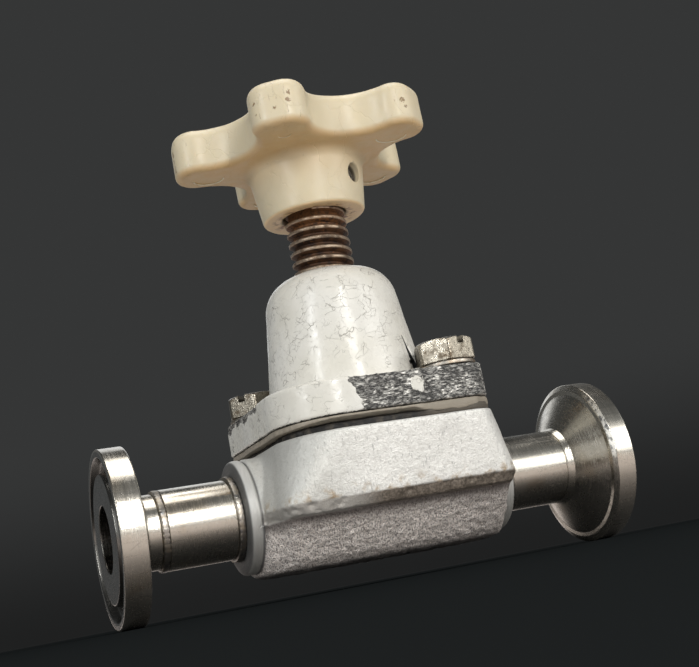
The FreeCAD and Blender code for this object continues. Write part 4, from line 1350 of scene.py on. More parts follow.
@dataclass
class FlowLine:
    """The ferrules, tube stubs and weld beads."""

    bore: float = 4.7
    tube: float = 5.7
    rim: float = 12.5
    end: float = 39.0
    rim_back: float = 35.5
    groove_inner: float = 9.0
    groove_outer: float = 11.4
    groove_depth: float = 1.3
    groove_slope: float = 0.45
    neck: float = 5.3
    neck_end: float = 32.2
    collar_reach: float = 20.6
    bead: float = 1.0
    cone_foot: float = 32.3
    cone_small: float = 6.0
    cone_large: float = 10.9
    flare_foot: float = 31.6
    flare_end: float = 31.2
    columns: int = 256

    def groove(self) -> list[Corner]:
        """The gasket groove's corners, from the bore outwards."""
        floor = self.end - self.groove_depth
        return [(self.end, self.bore, 0.15), (self.end, self.groove_inner, 0.2),
                (floor, self.groove_inner + self.groove_slope, 0.4),
                (floor, self.groove_outer - self.groove_slope, 0.4),
                (self.end, self.groove_outer, 0.2), (self.end, self.rim, 0.22)]

    def inlet_ferrule(self) -> Item:
        """The flat-backed ferrule with its short neck."""
        back = self.rim_back
        corners = self.groove() + [(back, self.rim, 0.22), (back - 0.9, self.neck + 0.6, 0.9),
                                   (back - 1.5, self.neck, 0.5), (self.neck_end, self.neck, 0.0),
                                   (self.neck_end, self.bore, 0.0)]
        mirrored = [(-along, out, edge) for along, out, edge in corners]
        return turned("inlet_clamp_ferrule", mirrored, Axis.FLOW, self.columns)

    def outlet_ferrule(self) -> Item:
        """The cone-backed ferrule that runs into the tube with a flare."""
        back = self.rim_back
        large = self.cone_large
        corners = self.groove() + [(back + 0.5, self.rim, 0.15), (back, large + 0.75, 0.1),
                                   (back - 0.05, large + 0.1, 0.1), (back - 0.3, large - 0.3, 0.1),
                                   (self.cone_foot, self.cone_small, 0.12),
                                   (self.flare_foot, self.tube + 0.05, 0.2),
                                   (self.flare_end, self.tube, 0.0), (self.flare_end, self.bore, 0.0)]
        return turned("outlet_clamp_ferrule", corners, Axis.FLOW, self.columns)

    def tube_stub(self, name: str, start: float, end: float) -> Item:
        """A tube stub between two places on the flow axis."""
        corners = [(start, self.bore, 0), (end, self.bore, 0), (end, self.tube, 0.1), (start, self.tube, 0.1)]
        return turned(name, corners, Axis.FLOW, self.columns)

    def weld_bead(self, name: str, middle: float, radius: float, height: float, material: Material) -> Item:
        """A ring of overlapping weld ripples on a core ring.

        Args:
            name: The piece's name.
            middle: Place of the bead on the flow axis.
            radius: Radius of the core ring.
            height: How far the ripples stand out.
            material: The weld's finish.

        Returns:
            The new object, with its material set.
        """
        half = self.bead / 2
        core = turned(name + "_core", [(middle - half, self.bore, 0), (middle + half, self.bore, 0),
                                       (middle + half, radius, 0.25), (middle - half, radius, 0.25)],
                      Axis.FLOW, 160)
        values = {"Ripples": 46, "Radius": radius * MM, "Middle": middle * MM,
                  "Size": (height * MM, half * MM, 0.55 * MM)}
        return grown(name, core, WeldTree(material).build(), values)

    def build(self, steel: Material, weld: Material) -> None:
        """Makes and dresses every piece of the flow line.

        Args:
            steel: The finish of the ferrules and stubs.
            weld: The finish of the beads.
        """
        start = self.collar_reach + self.bead
        half = self.bead / 2
        pieces = ((self.inlet_ferrule(), "inlet_ferrule"), (self.outlet_ferrule(), "outlet_ferrule"),
                  (self.tube_stub("inlet_tube_stub", -(self.neck_end - self.bead), -start), "inlet_tube"),
                  (self.tube_stub("outlet_tube_stub", start, self.flare_end), "outlet_tube"))
        for item, node in pieces:
            finish_piece(item, Body.VALVE, "stainless", steel, node)
        seam = self.collar_reach + half
        beads = [("inlet_ferrule_bead", -(self.neck_end - half), self.tube - 0.04, 0.07, "ferrule_weld"),
                 ("inlet_body_bead", -seam, self.tube + 0.40, 0.06, "inlet_collar_weld"),
                 ("outlet_body_bead", seam, self.tube + 0.40, 0.06, "outlet_collar_weld")]
        for name, middle, radius, height, node in beads:
            finish_piece(self.weld_bead(name, middle, radius, height, weld), Body.VALVE, "weld", None, node)


class NodeTree(Wiring, ABC):
    """A Geometry Nodes tree that is built in the script, with named inputs."""

    name: str = "tree"
    sizes: dict[str, str] = {}

    def __init__(self, material: Material) -> None:
        """Starts a tree with its named inputs, which are at hand in given.

        Args:
            material: The finish of what it makes.
        """
        super().__init__(bpy.data.node_groups.new(self.name, "GeometryNodeTree"))
        self.material = material
        self.tree.interface.new_socket("Geometry", in_out="OUTPUT", socket_type="NodeSocketGeometry")
        for name, kind in {"Geometry": "Geometry", **self.sizes}.items():
            self.tree.interface.new_socket(name, in_out="INPUT", socket_type=f"NodeSocket{kind}")
        inlets = self.tree.nodes.new("NodeGroupInput").outputs
        self.given = {inlet.name: Value(self, inlet) for inlet in inlets}

    def swept(self, path: Value, outline: Value) -> Value:
        """A smooth closed rod with this outline along a path."""
        rod = {"Curve": path, "Profile Curve": outline, "Fill Caps": True}
        return self.add("GeometryNodeSetShadeSmooth", {"Geometry": self.add("GeometryNodeCurveToMesh", rod)})

    def moved(self, part: Value, axis: str, distance: Value, turn: Value | Corner = (0.0, 0.0, 0.0)) -> Value:
        """A part turned, then moved along an axis."""
        shift = self.add("ShaderNodeCombineXYZ", {axis: distance})
        return self.add("GeometryNodeTransform", {"Geometry": part, "Translation": shift, "Rotation": turn})

    def finish(self, *parts: Value) -> bpy.types.NodeTree:
        """Joins the parts and ends the tree in Realize Instances and Set Material."""
        joined = self.tree.nodes.new("GeometryNodeJoinGeometry")
        for part in parts:
            self.tree.links.new(part.socket, joined.inputs[0])
        real = self.add("GeometryNodeRealizeInstances", {0: Value(self, joined.outputs[0])})
        painted = self.add("GeometryNodeSetMaterial", {"Geometry": real, "Material": self.material})
        self.tree.links.new(painted.socket, self.tree.nodes.new("NodeGroupOutput").inputs[0])
        return self.tree

    @abstractmethod
    def build(self) -> bpy.types.NodeTree:
        """Makes the nodes."""


class WeldTree(NodeTree):
    """Weld ripples spaced round the flow axis, added to a core ring."""

    name = "weld_ripples"
    sizes = {"Ripples": "Int", "Radius": "Float", "Middle": "Float", "Size": "Vector"}

    def build(self) -> bpy.types.NodeTree:
        """Makes the nodes."""
        circle = {"Resolution": 240, "Radius": self.given["Radius"]}
        path = self.add("GeometryNodeCurvePrimitiveCircle", circle)
        spots = self.add("GeometryNodeResampleCurve", {"Curve": path, "Count": self.given["Ripples"]})
        ball = self.add("GeometryNodeMeshUVSphere", {"Segments": 12, "Rings": 8, "Radius": 1.0})
        smooth = self.add("GeometryNodeSetShadeSmooth", {"Geometry": ball})
        position = {"Vector": self.add("GeometryNodeInputPosition")}
        outward = self.add("FunctionNodeAlignEulerToVector", position, axis="X")
        tangent = {"Rotation": outward, "Vector": self.add("GeometryNodeInputTangent")}
        facing = self.add("FunctionNodeAlignEulerToVector", tangent, axis="Z", pivot_axis="X")
        beads = self.add("GeometryNodeInstanceOnPoints", {
            "Points": spots, "Instance": smooth, "Rotation": facing, "Scale": self.given["Size"]})
        placed = self.moved(beads, "X", self.given["Middle"], (0.0, math.pi / 2, 0.0))
        return self.finish(self.given["Geometry"], placed)


class ThreadTree(NodeTree):
    """A thread ridge that follows a helix about the spindle axis, added to the spindle's core."""

    name = "spindle_thread"
    sizes = {"Turns": "Float", "Root": "Float", "Rise": "Float", "Foot": "Float", "Depth": "Float",
             "Half width": "Float"}
    ridge = ((0.12, -0.96), (-0.05, -0.82), (-0.80, -0.40), (-1.0, -0.20), (-1.0, 0.20), (-0.80, 0.40),
             (-0.05, 0.82), (0.12, 0.96))

    def build(self) -> bpy.types.NodeTree:
        """Makes the nodes."""
        root = self.given["Root"]
        path = self.add("GeometryNodeCurveSpiral", {
            "Resolution": 72, "Rotations": self.given["Turns"], "Start Radius": root, "End Radius": root,
            "Height": self.given["Rise"]})
        upright = self.add("GeometryNodeSetCurveNormal", {"Curve": path}, mode="Z_UP")
        circle = self.add("GeometryNodeCurvePrimitiveCircle", {"Resolution": len(self.ridge), "Radius": 1.0})
        number = self.add("GeometryNodeInputIndex")
        chosen = [self.add("FunctionNodeCompare", {2: number, 3: index}, data_type="INT", operation="EQUAL")
                  for index in range(len(self.ridge))]
        out, side = [reduce(Value.__add__, [same * part for same, part in zip(chosen, parts)])
                     for parts in zip(*self.ridge)]
        spot = self.add("ShaderNodeCombineXYZ", {"X": out * self.given["Depth"],
                                                 "Y": side * self.given["Half width"]})
        shaped = self.add("GeometryNodeSetPosition", {"Geometry": circle, "Position": spot})
        placed = self.moved(self.swept(upright, shaped), "Z", self.given["Foot"])
        return self.finish(self.given["Geometry"], placed)


class PairTree(NodeTree):
    """One fastener repeated at a spot and at the spot across the spindle axis."""

    name = "fastener_pair"
    sizes = {"Spot": "Vector", "First turn": "Float", "Second turn": "Float"}

    def build(self) -> bpy.types.NodeTree:
        """Makes the nodes."""
        spot = self.given["Spot"]
        across = self.add("ShaderNodeVectorMath", {0: spot, 1: (-1.0, -1.0, 1.0)}, operation="MULTIPLY")
        copies = []
        for place, turn in ((spot, "First turn"), (across, "Second turn")):
            angle = self.add("ShaderNodeCombineXYZ", {"Z": self.given[turn]})
            point = self.add("GeometryNodePoints", {"Count": 1, "Position": place})
            copies.append(self.add("GeometryNodeInstanceOnPoints", {
                "Points": point, "Instance": self.given["Geometry"], "Rotation": angle}))
        return self.finish(*copies)


class LobeMarkTree(NodeTree):
    """A fine moulded ring repeated under each lobe of the handwheel, small under the first."""

    name = "lobe_marks"
    sizes = {"Lobes": "Int", "Reach": "Float", "Level": "Float", "Ring": "Float", "Thickness": "Float",
             "Turn": "Float"}
    facing = 72.0
    sweep = 165.0

    def build(self) -> bpy.types.NodeTree:
        """Makes the nodes."""
        turn = self.given["Turn"]
        arc = {"Resolution": 40, "Radius": self.given["Ring"], "Sweep Angle": math.radians(self.sweep),
               "Start Angle": math.radians(self.facing - self.sweep / 2) - turn}
        path = self.add("GeometryNodeCurveArc", arc)
        wire = {"Resolution": 8, "Radius": self.given["Thickness"]}
        mark = self.swept(path, self.add("GeometryNodeCurvePrimitiveCircle", wire))
        wheel = {"Resolution": self.given["Lobes"], "Radius": self.given["Reach"]}
        around = {"Curve": self.add("GeometryNodeCurvePrimitiveCircle", wheel)}
        spots = self.add("GeometryNodeCurveToPoints", around, mode="EVALUATED")
        order = {0: self.add("GeometryNodeInputIndex"), 1: 0.0, 2: 0.5}
        first = self.add("ShaderNodeMath", order, operation="COMPARE")
        size = self.add("ShaderNodeMapRange", {"Value": first, "To Min": 1.0, "To Max": 0.4})
        marks = self.add("GeometryNodeInstanceOnPoints", {"Points": spots, "Instance": mark, "Scale": size})
        angle = self.add("ShaderNodeCombineXYZ", {"Z": turn})
        return self.finish(self.moved(marks, "Z", self.given["Level"], angle))


def grown(name: str, base: Item, tree: bpy.types.NodeTree, values: dict[str, float | int | tuple]) -> Item:
    """Runs a tree on a base object and keeps the result as a plain mesh.

    Args:
        name: The new piece's name.
        base: The object that the tree starts from.
        tree: The Geometry Nodes tree.
        values: The tree's named inputs.

    Returns:
        The finished object.
    """
    grow = base.modifiers.new("grow", "NODES")
    grow.node_group = tree
    for socket in tree.interface.items_tree:
        if socket.item_type == "SOCKET" and socket.in_out == "INPUT" and socket.name in values:
            grow[socket.identifier] = values[socket.name]
    base.name = name
    base.update_tag()
    baked(base)
    with opened(base.data) as shell:
        bmesh.ops.recalc_face_normals(shell, faces=shell.faces)
    return base


@dataclass
class Outline:
    """The handwheel's outline: tips, corners and valleys joined by arcs, one set for each lobe."""

    lobes: int = 5
    reach: float = 20.3
    valley_reach: float = 12.4
    valley_radius: float = 7.2
    corner: float = 3.4
    turn: float = -118.6
    spacing: float = 0.27

    def arc(self, centre: Vector, radius: float, start: float, end: float, outward: int) -> list[tuple]:
        """Points and outward normals on an arc, without its last point.

        Args:
            centre: The arc's centre.
            radius: Its radius.
            start: Angle where it starts.
            end: Angle where it ends.
            outward: 1 where the wheel lies inside the arc, -1 where it lies outside.

        Returns:
            Rows of x, y, normal x and normal y.
        """
        count = max(3, round(abs(end - start) * radius / self.spacing))
        rows = []
        for step in range(count):
            angle = start + (end - start) * step / count
            east = math.cos(angle)
            north = math.sin(angle)
            rows.append((centre.x + radius * east, centre.y + radius * north,
                         outward * east, outward * north))
        return rows

    def rows(self) -> np.ndarray:
        """The whole outline, as rows of x, y, normal x and normal y."""
        middle = self.valley_reach + self.valley_radius
        inner = self.reach - self.corner
        outer = self.valley_radius + self.corner
        swing = math.acos((inner ** 2 + middle ** 2 - outer ** 2) / (2 * inner * middle))
        hub = Vector((0.0, 0.0))
        valley = Vector((middle, 0.0))
        low, high = (Vector((inner * math.cos(swing), sign * inner * math.sin(swing))) for sign in (-1, 1))
        low_facing, high_facing = (math.atan2(*(valley - centre).yx) for centre in (low, high))
        leave = math.atan2(*(low - valley).yx) % FULL_TURN
        half = math.pi / self.lobes
        period = np.array(self.arc(hub, self.reach, -half, -swing, 1)
                          + self.arc(low, self.corner, -swing, low_facing, 1)
                          + self.arc(valley, self.valley_radius, leave, FULL_TURN - leave, -1)
                          + self.arc(high, self.corner, high_facing, swing, 1)
                          + self.arc(hub, self.reach, swing, half, 1))
        turned_rows = []
        for lobe in range(self.lobes):
            angle = math.radians(self.turn) + half + lobe * 2 * half
            spin = np.array([[math.cos(angle), math.sin(angle)], [-math.sin(angle), math.cos(angle)]])
            turned_rows.append(np.hstack([period[:, :2] @ spin, period[:, 2:] @ spin]))
        return np.vstack(turned_rows)


def inside_line(spots: np.ndarray, line: np.ndarray) -> np.ndarray:
    """Whether each spot lies inside a closed line.

    Args:
        spots: Places as x and y.
        line: The closed line's points.

    Returns:
        True for each spot inside.
    """
    end = np.roll(line, -1, axis=0)
    x = spots[:, None, 0]
    y = spots[:, None, 1]
    spans = (line[None, :, 1] > y) != (end[None, :, 1] > y)
    rise = np.where(end[:, 1] == line[:, 1], 1e-12, end[:, 1] - line[:, 1])
    crossing = line[:, 0] + (y - line[None, :, 1]) * (end[:, 0] - line[:, 0]) / rise
    return (np.sum(spans & (x < crossing), axis=1) % 2).astype(bool)


@dataclass
class Handwheel:
    """The moulded wheel with its hub, cap and set screw hole."""

    outline: Outline = field(default_factory=Outline)
    top_edge: float = 2.1
    foot_edge: float = 1.2
    hub_height: float = 8.6
    hub_foot_radius: float = 8.05
    hub_root_radius: float = 8.9
    hub_edge: float = 0.55
    hub_columns: int = 240
    blend: float = 1.9
    mouth: float = 4.98
    insert_radius: float = 6.1
    insert_foot: float = 2.0
    insert_top: float = 11.6
    well: float = 4.9
    cap_radius: float = 7.3
    cap_height: float = 1.6
    grid: float = 0.6
    screw_angle: float = -53.2
    screw_level: float = 4.7
    screw_hole: float = 1.52
    mark_reach: float = 15.3
    mark_ring: float = 2.35

    def flat_ring(self, outer: np.ndarray, inner: np.ndarray, level: float) -> tuple[np.ndarray, list[tuple]]:
        """A flat face between an outer and an inner closed line.

        Args:
            outer: The outer line, as x and y.
            inner: The inner line, as x and y.
            level: Height of the face.

        Returns:
            The face's points and its triangles.
        """
        reach = self.outline.reach
        across, up = np.meshgrid(np.arange(-reach, reach, self.grid),
                                 np.arange(-reach, reach, self.grid * 0.866))
        across = across + (np.arange(up.shape[0]) % 2 * self.grid / 2)[:, None]
        grid = np.column_stack([across.ravel(), up.ravel()])
        clear = self.grid * 0.6
        inner_reach = float(np.hypot(*inner[0]))
        grid = grid[(np.hypot(grid[:, 0], grid[:, 1]) > inner_reach + clear) & inside_line(grid, outer)]
        apart = grid[:, None] - outer[None]
        gap = np.min(np.hypot(apart[..., 0], apart[..., 1]), axis=1)
        spots = np.vstack([outer, inner, grid[gap > clear]])
        edges = []
        for start, line in ((0, outer), (len(outer), inner)):
            edges += [(start + index, start + (index + 1) % len(line)) for index in range(len(line))]
        found = delaunay_2d_cdt([Vector(spot) for spot in spots], edges, [], 0, 1e-7)
        places = np.array([tuple(spot) for spot in found[0]])
        triangles = np.array(found[2])
        middles = places[triangles].mean(axis=1)
        keep = (np.hypot(middles[:, 0], middles[:, 1]) > inner_reach * 0.9999) & inside_line(middles, outer)
        flat = np.column_stack([places, np.full(len(places), level)])
        return flat, [tuple(face) for face in triangles[keep]]

    def side_line(self, foot: float, top: float) -> Profile:
        """The rim's side from the underside to the top.

        Args:
            foot: Level of the wheel's underside.
            top: Level of the wheel's top.

        Returns:
            How far it lies within the outline, and at which level.
        """
        wall = top - foot - self.foot_edge - self.top_edge
        side = [(back, foot + rise) for back, rise in quarter_round(self.foot_edge, 7)]
        side += [(0.0, foot + self.foot_edge + wall * step / 8) for step in range(1, 8)]
        return side + [(back, top - drop) for drop, back in quarter_round(self.top_edge, 9)]

    def build(self) -> Item:
        """Makes the wheel and its hub as one closed mesh."""
        low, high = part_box("handwheel")
        hub_foot = low.z / MM
        top = high.z / MM
        foot = hub_foot + self.hub_height
        rows = self.outline.rows()
        rim = [np.column_stack([rows[:, :2] - rows[:, 2:] * inset, np.full(len(rows), level)])
               for inset, level in self.side_line(foot, top)]
        hub = circle_rings(directions(self.hub_columns), self.hub_line(hub_foot, foot, top))
        parts = [(np.vstack(rings), ring_faces(len(rings), len(rings[0]), closed=False))
                 for rings in (rim, hub)]
        parts.append(self.flat_ring(rim[0][:, :2], hub[0][:, :2], foot))
        parts.append(self.flat_ring(rim[-1][:, :2], hub[-1][:, :2], top))
        faces: list[tuple] = []
        base = 0
        for points, part_faces in parts:
            faces += [tuple(base + index for index in face) for face in part_faces]
            base += len(points)
        item = mesh_object("moulded_handwheel", np.vstack([points for points, _ in parts]), faces)
        cut_with(item, self.drill(hub_foot))
        shade_smooth(item.data)
        places = points_of(item)
        outer = smooth_step(np.hypot(places[:, 0], places[:, 1]), 7.5, 8.5)
        outer *= smooth_step(places[:, 2], foot - 1, foot)
        push(item, np.minimum(0, fractal(places, 0.18, 2, 40.0) * 0.10 - 0.03) * outer)
        return item

    def hub_line(self, hub_foot: float, foot: float, top: float) -> Profile:
        """The hub's line from the wheel's underside round its foot and up its bore to the cap seat.

        Args:
            hub_foot: Level of the hub's foot.
            foot: Level of the wheel's underside.
            top: Level of the wheel's top.

        Returns:
            The line's points as (radius, level).
        """
        line = [(self.hub_root_radius + out, foot - drop) for out, drop in quarter_round(self.blend, 10)]
        rows = 14
        for step in range(1, rows + 1):
            share = step / rows
            radius = self.hub_root_radius + (self.hub_foot_radius - self.hub_root_radius) * share
            line.append((radius, foot - self.blend + (hub_foot + self.hub_edge - foot + self.blend) * share))
        line += [(self.hub_foot_radius - back, hub_foot + rise)
                 for rise, back in quarter_round(self.hub_edge, 6)[1:]]
        seat = top - self.cap_height
        insert_foot = hub_foot + self.insert_foot
        insert_top = hub_foot + self.insert_top
        line += [(6.6, hub_foot + 0.02), (self.mouth + 0.5, hub_foot + 0.12),
                 (self.mouth + 0.15, hub_foot + 0.25), (self.mouth, hub_foot + 0.5),
                 (self.mouth, insert_foot), (self.insert_radius, insert_foot),
                 (self.insert_radius, insert_top), (self.well, insert_top), (self.well, seat),
                 (self.cap_radius, seat), (self.cap_radius, top - 0.1), (self.cap_radius + 0.1, top)]
        return line

    def drill(self, hub_foot: float) -> Item:
        """The cutter for the set screw's hole, with a slightly flared mouth.

        Args:
            hub_foot: Level of the hub's foot.

        Returns:
            The cutter.
        """
        start = self.insert_radius - 0.5
        end = self.hub_root_radius + 1.0
        flare = self.hub_foot_radius + 0.35
        tool = turned("hole_tool", [(start, 0.001, 0), (end, 0.001, 0), (end, self.screw_hole + 0.25, 0),
                                    (flare, self.screw_hole, 0), (start, self.screw_hole, 0)],
                      Axis.FLOW, 48)
        lift = Matrix.Translation((0, 0, (hub_foot + self.screw_level) * MM))
        tool.data.transform(lift @ Matrix.Rotation(math.radians(self.screw_angle), 4, "Z"))
        return tool

    def cap(self) -> Item:
        """The press-in cap: a shallow dome with a fine groove near its edge."""
        low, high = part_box("handwheel_cap")
        foot = low.z / MM
        top = high.z / MM
        radius = self.cap_radius - 0.04
        line = [(foot, 0.001, 0), (foot, radius, 0.1), (top - 0.15, radius, 0.25),
                (top - 0.05, radius - 0.5, 0.1), (top - 0.35, radius - 0.85, 0.15),
                (top - 0.08, radius - 1.25, 0.1), (top, radius * 0.4, 0), (top, 0.001, 0)]
        return turned("handwheel_cap_disc", line, Axis.SPINDLE, 160)

    def marks(self, material: Material) -> Item:
        """The moulded rings under the lobes.

        Args:
            material: Their finish.

        Returns:
            The rings as one object.
        """
        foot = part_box("handwheel")[0].z / MM + self.hub_height
        base = new_object("marks_base", bpy.data.meshes.new("marks_base"))
        values = {"Lobes": self.outline.lobes, "Reach": self.mark_reach * MM, "Level": foot * MM,
                  "Ring": self.mark_ring * MM, "Thickness": 0.11 * MM,
                  "Turn": math.radians(self.outline.turn)}
        return grown("lobe_ring_marks", base, LobeMarkTree(material).build(), values)


@dataclass
class Spindle:
    """The spindle with its thread, relief and journal."""

    thread: float = 4.7625
    pitch: float = 1.5875
    depth: float = 0.86
    tip: float = 3.2
    pin_groove: float = 2.5
    pin_level: float = 3.2
    pin_groove_half: float = 0.75
    relief: float = 4.1
    relief_length: float = 1.8
    run_out: float = 1.0
    journal: float = 4.6
    thread_in_hub: float = 0.85

    def build(self, material: Material) -> Item:
        """Turns the core and winds the thread round it.

        Args:
            material: The thread's finish.

        Returns:
            The spindle, with its material set.
        """
        low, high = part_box("spindle")
        foot = low.z / MM
        top = high.z / MM
        washer_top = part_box("thrust_washer")[1].z / MM
        hub_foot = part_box("handwheel")[0].z / MM
        collar_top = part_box("stop_collar")[1].z / MM
        relief_foot = hub_foot - self.run_out
        relief_top = relief_foot + self.relief_length
        root = self.thread - self.depth
        below = foot + self.pin_level - self.pin_groove_half
        above = foot + self.pin_level + self.pin_groove_half
        core = turned("spindle_core", [
            (foot, 0.001, 0), (foot, self.tip, 0.3), (below, self.tip, 0.1), (below, self.pin_groove, 0.1),
            (above, self.pin_groove, 0.1), (above, self.tip, 0.1), (washer_top, self.tip, 0),
            (washer_top, self.thread, 0.2), (collar_top, self.thread, 0.1), (collar_top, root, 0.1),
            (relief_foot, root, 0.1), (relief_foot + 0.2, self.relief, 0.1), (relief_top, self.relief, 0.1),
            (relief_top, self.journal, 0.2), (top, self.journal, 0.2), (top, 0.001, 0)], Axis.SPINDLE, 128)
        rise = hub_foot + self.thread_in_hub - collar_top - 0.9
        values = {"Turns": rise / self.pitch, "Root": root * MM, "Rise": rise * MM, "Depth": self.depth * MM,
                  "Foot": (collar_top + 0.5) * MM, "Half width": self.pitch * 0.5 * MM}
        return grown("threaded_spindle", core, ThreadTree(material).build(), values)


@dataclass
class BonnetScrews:
    """The two slotted hexagon screws and their washers."""

    spot: tuple[float, float] = (11.0, -12.8)
    across: float = 7.94
    chamfer: float = 32.0
    slot_width: float = 1.2
    slot_depth: float = 1.1
    shank: float = 2.4
    washer_radius: float = 4.2
    washer_height: float = 0.6
    turns: tuple[float, float] = (-74.0, -134.5)
    columns: int = 240

    def head(self) -> Item:
        """One screw with its seat at level zero, its slot cut and its edges worn."""
        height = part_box("bonnet_screws")[1].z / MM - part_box("screw_washers")[1].z / MM
        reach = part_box("screw_washers")[1].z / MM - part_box("bonnet_screws")[0].z / MM
        angles = directions(self.columns)
        side = math.pi / 3
        flat = self.across / 2
        hexagon = np.minimum(flat / np.cos((angles + side / 2) % side - side / 2), flat * 1.13)
        crown = flat * 0.98
        fall = np.maximum(0, hexagon - crown) * math.tan(math.radians(self.chamfer))
        foot = 0.12
        rings = circle_rings(angles, [(0.001, -reach), (self.shank - 0.3, -reach), (self.shank, -reach + 0.4),
                                      (self.shank, -0.02), (self.shank, 0.0),
                                      (hexagon * (1 - 0.25 / flat), 0.0), (hexagon, foot)])
        for share in (0.06, 0.3, 0.55, 0.8, 0.96):
            rings.append(circle_ring(angles, hexagon, 0.0))
            rings[-1][:, 2] = foot + (height - foot - fall) * share
        rings.append(circle_ring(angles, hexagon * 0.995, 0.0))
        rings[-1][:, 2] = height - fall
        rings += circle_rings(angles, [(crown, height - 0.02), (crown - 0.15, height), (crown * 0.7, height),
                                       (crown * 0.4, height), (0.001, height)])
        item = stacked("screw_head", rings)
        half = self.slot_width / 2
        floor = height - self.slot_depth
        corners = np.array([(x, y, z) for x in (-9, 9) for y in (-half, half) for z in (floor, height + 2)])
        tool = mesh_object("slot_tool", corners, [(0, 1, 3, 2), (4, 6, 7, 5), (0, 4, 5, 1), (2, 3, 7, 6),
                                                  (0, 2, 6, 4), (1, 5, 7, 3)])
        cut_with(item, tool)
        edges = item.modifiers.new("worn_edges", "BEVEL")
        edges.width = 0.08 * MM
        edges.segments = 2
        edges.angle_limit = math.radians(40)
        baked(item)
        shade_smooth(item.data)
        item.data.set_sharp_from_angle(angle=math.radians(35))
        return item

    def washer(self) -> Item:
        """One washer with its seat at level zero."""
        inner = self.shank + 0.2
        line = [(0, inner, 0.1), (0, self.washer_radius, 0.12), (self.washer_height, self.washer_radius, 0.2),
                (self.washer_height, inner, 0.1)]
        return turned("washer_disc", line, Axis.SPINDLE, 96)

    def build(self, screw: Material, washer: Material) -> None:
        """Repeats the screw and the washer at both places.

        Args:
            screw: The screws' finish.
            washer: The washers' finish.
        """
        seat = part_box("screw_washers")
        pieces = (("slotted_screws", self.head(), seat[1].z, screw, "bonnet_screws"),
                  ("flat_washers", self.washer(), seat[0].z, washer, "screw_washers"))
        for name, base, level, material, node in pieces:
            values = {"Spot": (self.spot[0] * MM, self.spot[1] * MM, level),
                      "First turn": math.radians(self.turns[0]), "Second turn": math.radians(self.turns[1])}
            item = grown(name, base, PairTree(material).build(), values)
            finish_piece(item, Body.VALVE, "screw_steel", None, node)


@dataclass(frozen=True)
class Lamp:
    """A soft rectangular lamp that faces the object: place and size in metres, power in watts."""

    name: str
    place: Corner
    size: tuple[float, float]
    power: float
    colour: Colour


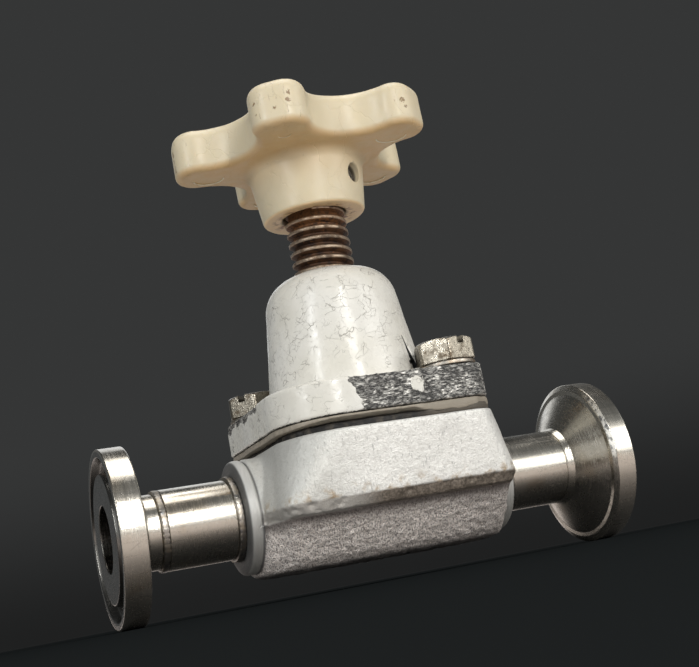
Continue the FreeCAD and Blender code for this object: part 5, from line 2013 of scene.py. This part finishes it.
@dataclass
class Studio:
    """Camera, lamps, world and floor."""

    lens: float = 62.06
    place: Corner = (-64.669, -168.898, -11.958)
    right: Corner = (0.92711524, -0.32600949, -0.18486524)
    down: Corner = (-0.1032153, 0.25208489, -0.96218492)
    forward: Corner = (0.36028314, 0.91113721, 0.20006257)
    floor_level: float = -12.5
    floor_size: float = 2400.0
    mat_near: float = 60.0
    mat_far: float = 900.0
    mat: Colour = (0.0088, 0.0102, 0.0106)
    painted_reflection_mat: Colour = (0.78, 0.70, 0.67)
    room: float = 0.037
    room_low: float = 0.0145
    band: float = 0.85
    fill: float = 0.30
    aim: Vector = field(default_factory=lambda: Vector((0.0, 0.0, 0.02)))
    warm: Colour = (1.0, 0.975, 0.94)
    cool: Colour = (0.96, 0.98, 1.0)

    def camera(self) -> None:
        """Sets the camera at the photograph's viewing angle."""
        data = bpy.data.cameras.new("camera")
        data.lens = self.lens
        data.sensor_width = 36.0
        data.clip_start = 0.0001
        data.clip_end = 20.0
        item = new_object("camera", data)
        columns = Matrix([self.right, -Vector(self.down), -Vector(self.forward)])
        item.matrix_world = Matrix.Translation(Vector(self.place) * MM) @ columns.transposed().to_4x4()
        bpy.context.scene.camera = item

    def lamps(self) -> None:
        """Sets the lamps round the object."""
        for lamp in (Lamp("front_strip", (0.02, -0.47, 0.20), (0.035, 0.26), 1.15, self.warm),
                     Lamp("left_strip", (-0.40, -0.26, 0.19), (0.035, 0.26), 0.80, self.cool),
                     Lamp("top_box", (0.04, 0.02, 0.52), (0.30, 0.30), 1.0, self.warm),
                     Lamp("right_box", (0.33, -0.34, 0.14), (0.22, 0.22), 0.55, self.warm),
                     Lamp("back_box", (0.12, 0.42, 0.24), (0.25, 0.25), 0.18, self.cool)):
            data = bpy.data.lights.new(lamp.name, "AREA")
            data.shape = "RECTANGLE"
            data.size, data.size_y = lamp.size
            data.energy = lamp.power
            data.color = lamp.colour
            item = new_object(lamp.name, data)
            item.location = lamp.place
            item.rotation_euler = (self.aim - Vector(lamp.place)).to_track_quat("-Z", "Y").to_euler()

    def world(self) -> None:
        """A dark room with a pale band in front, which only shiny surfaces show, and an even soft light."""
        world = bpy.data.worlds.new("studio")
        bpy.context.scene.world = world
        world.use_nodes = True
        wiring = Wiring(world.node_tree)
        _, depth, height = wiring.split(wiring.add("ShaderNodeTexCoord", output="Generated"))
        band = height.rise(-0.02, 0.05) * height.rise(0.34, 0.75, 1.0, 0.18)
        band = band * depth.rise(-0.7, 0.35, 1.0, 0.10) * self.band
        shiny = wiring.ray("Glossy")
        seen = wiring.ray("Camera").most(wiring.ray("Transmission"))
        level = height.rise(0.0, 0.15, self.room_low, self.room)
        plain = 1.0 - seen.most(shiny)
        strength = shiny * (band + self.room) + seen * level + plain * self.fill
        background = wiring.tree.nodes["Background"]
        wiring.put(background.inputs["Strength"], strength)
        wiring.put(background.inputs["Color"], (0.97, 1.0, 1.0))

    def floor(self) -> None:
        """A dark mat under the ferrules, with painted light and a painted reflection in its colour."""
        half = self.floor_size / 2
        corners = np.array([(x, y, self.floor_level) for x, y in ((-half, -half), (half, -half), (half, half),
                                                                  (-half, half))])
        item = mesh_object("floor", corners, [(0, 1, 2, 3)])
        shade = Shade("dark_mat")
        shiny = shade.ray("Glossy")
        looked_at = shade.ray("Camera").most(shiny).most(shade.ray("Transmission"))
        # Painted light: the mat is darker near the object and lighter far away, making up for the lamps'
        # light that falls off there.
        dark = shade.radius(Axis.SPINDLE).rise(self.mat_near, self.mat_far).mix(self.mat, grey(0.047))
        # Painted reflection: to reflection rays the mat is pale, and near black along the flow axis under the
        # object as painted shadow.
        mirrored = abs(shade.y).rise(6.0, 46.0).mix(grey(0.04), self.painted_reflection_mat)
        colour = shiny.mix(looked_at.mix(grey(0.36), dark), mirrored)
        dress(item, shade.done(colour, 0.0, 0.9, more={"Specular IOR Level": 0.0}))

    def build(self) -> None:
        """Sets everything round the object."""
        self.camera()
        self.lamps()
        self.world()
        self.floor()
        bpy.context.scene.view_settings.view_transform = "Standard"


def dress_inner_parts(nodes: dict[str, Item]) -> None:
    """Gives the frame's own hidden pieces their finishes.

    Args:
        nodes: The frame's objects by name.
    """
    bronze = PlainMetal("turned_bronze", (0.52, 0.36, 0.14), (0.30, 0.19, 0.07)).build()
    dark = PlainMetal("plain_steel", (0.40, 0.39, 0.37), (0.20, 0.17, 0.14)).build()
    bright = PlainMetal("bright_screw", (0.66, 0.65, 0.62), (0.35, 0.30, 0.24), 0.5, 0.25).build()
    for material, names in ((bronze, ("compressor", "thrust_washer", "bonnet_bush", "handwheel_insert")),
                            (dark, ("diaphragm_stud", "retaining_pins", "guide_pins", "stop_collar",
                                    "stop_collar_pin")),
                            (bright, ("set_screw",))):
        for name in names:
            dress(nodes[name], material)


def main() -> None:
    """Builds and dresses the valve, one sub-assembly after another."""
    logging.basicConfig(level=logging.INFO, format="%(message)s")
    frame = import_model()
    Studio().build()
    dress_inner_parts(frame["nodes"])

    finish_piece(ValveBody().build(), Body.VALVE, "forging", ForgedSteel().build(), "valve_body")
    FlowLine().build(MachinedSteel().build(), WeldedSteel().build())
    rubber = SheetRubber("black_rubber", grey(0.008), (0.10, 0.085, 0.065), dusty_end=0.8).build()
    pale = SheetRubber("backing_rubber", (0.34, 0.30, 0.24), (0.20, 0.17, 0.13), 0.55, 0.5).build()
    ClampedSheets().build(rubber, pale)
    finish_piece(Bonnet().build(), Body.VALVE, "bonnet_paint", ChippedPaint().build(), "bonnet")

    screw_steel = PlainMetal("screw_steel", (0.27, 0.245, 0.20), (0.07, 0.05, 0.03), 0.95, 0.26, 0.05).build()
    washer_steel = PlainMetal("washer_steel", (0.42, 0.39, 0.34), (0.26, 0.17, 0.09), 0.8).build()
    BonnetScrews().build(screw_steel, washer_steel)

    spindle = Spindle().build(RustedThread().build())
    finish_piece(spindle, Body.SPINDLE, "spindle_steel", None, "spindle")
    wheel = Handwheel()
    ivory = IvoryPlastic().build()
    finish_piece(wheel.build(), Body.SPINDLE, "ivory_plastic", ivory, "handwheel")
    finish_piece(wheel.cap(), Body.SPINDLE, "ivory_plastic", ivory, "handwheel_cap")
    pale_ivory = PlainPlastic("pale_ivory", (0.92, 0.84, 0.66)).build()
    finish_piece(wheel.marks(pale_ivory), Body.SPINDLE, "ivory_plastic", None)


if __name__ == "__main__":
    main()
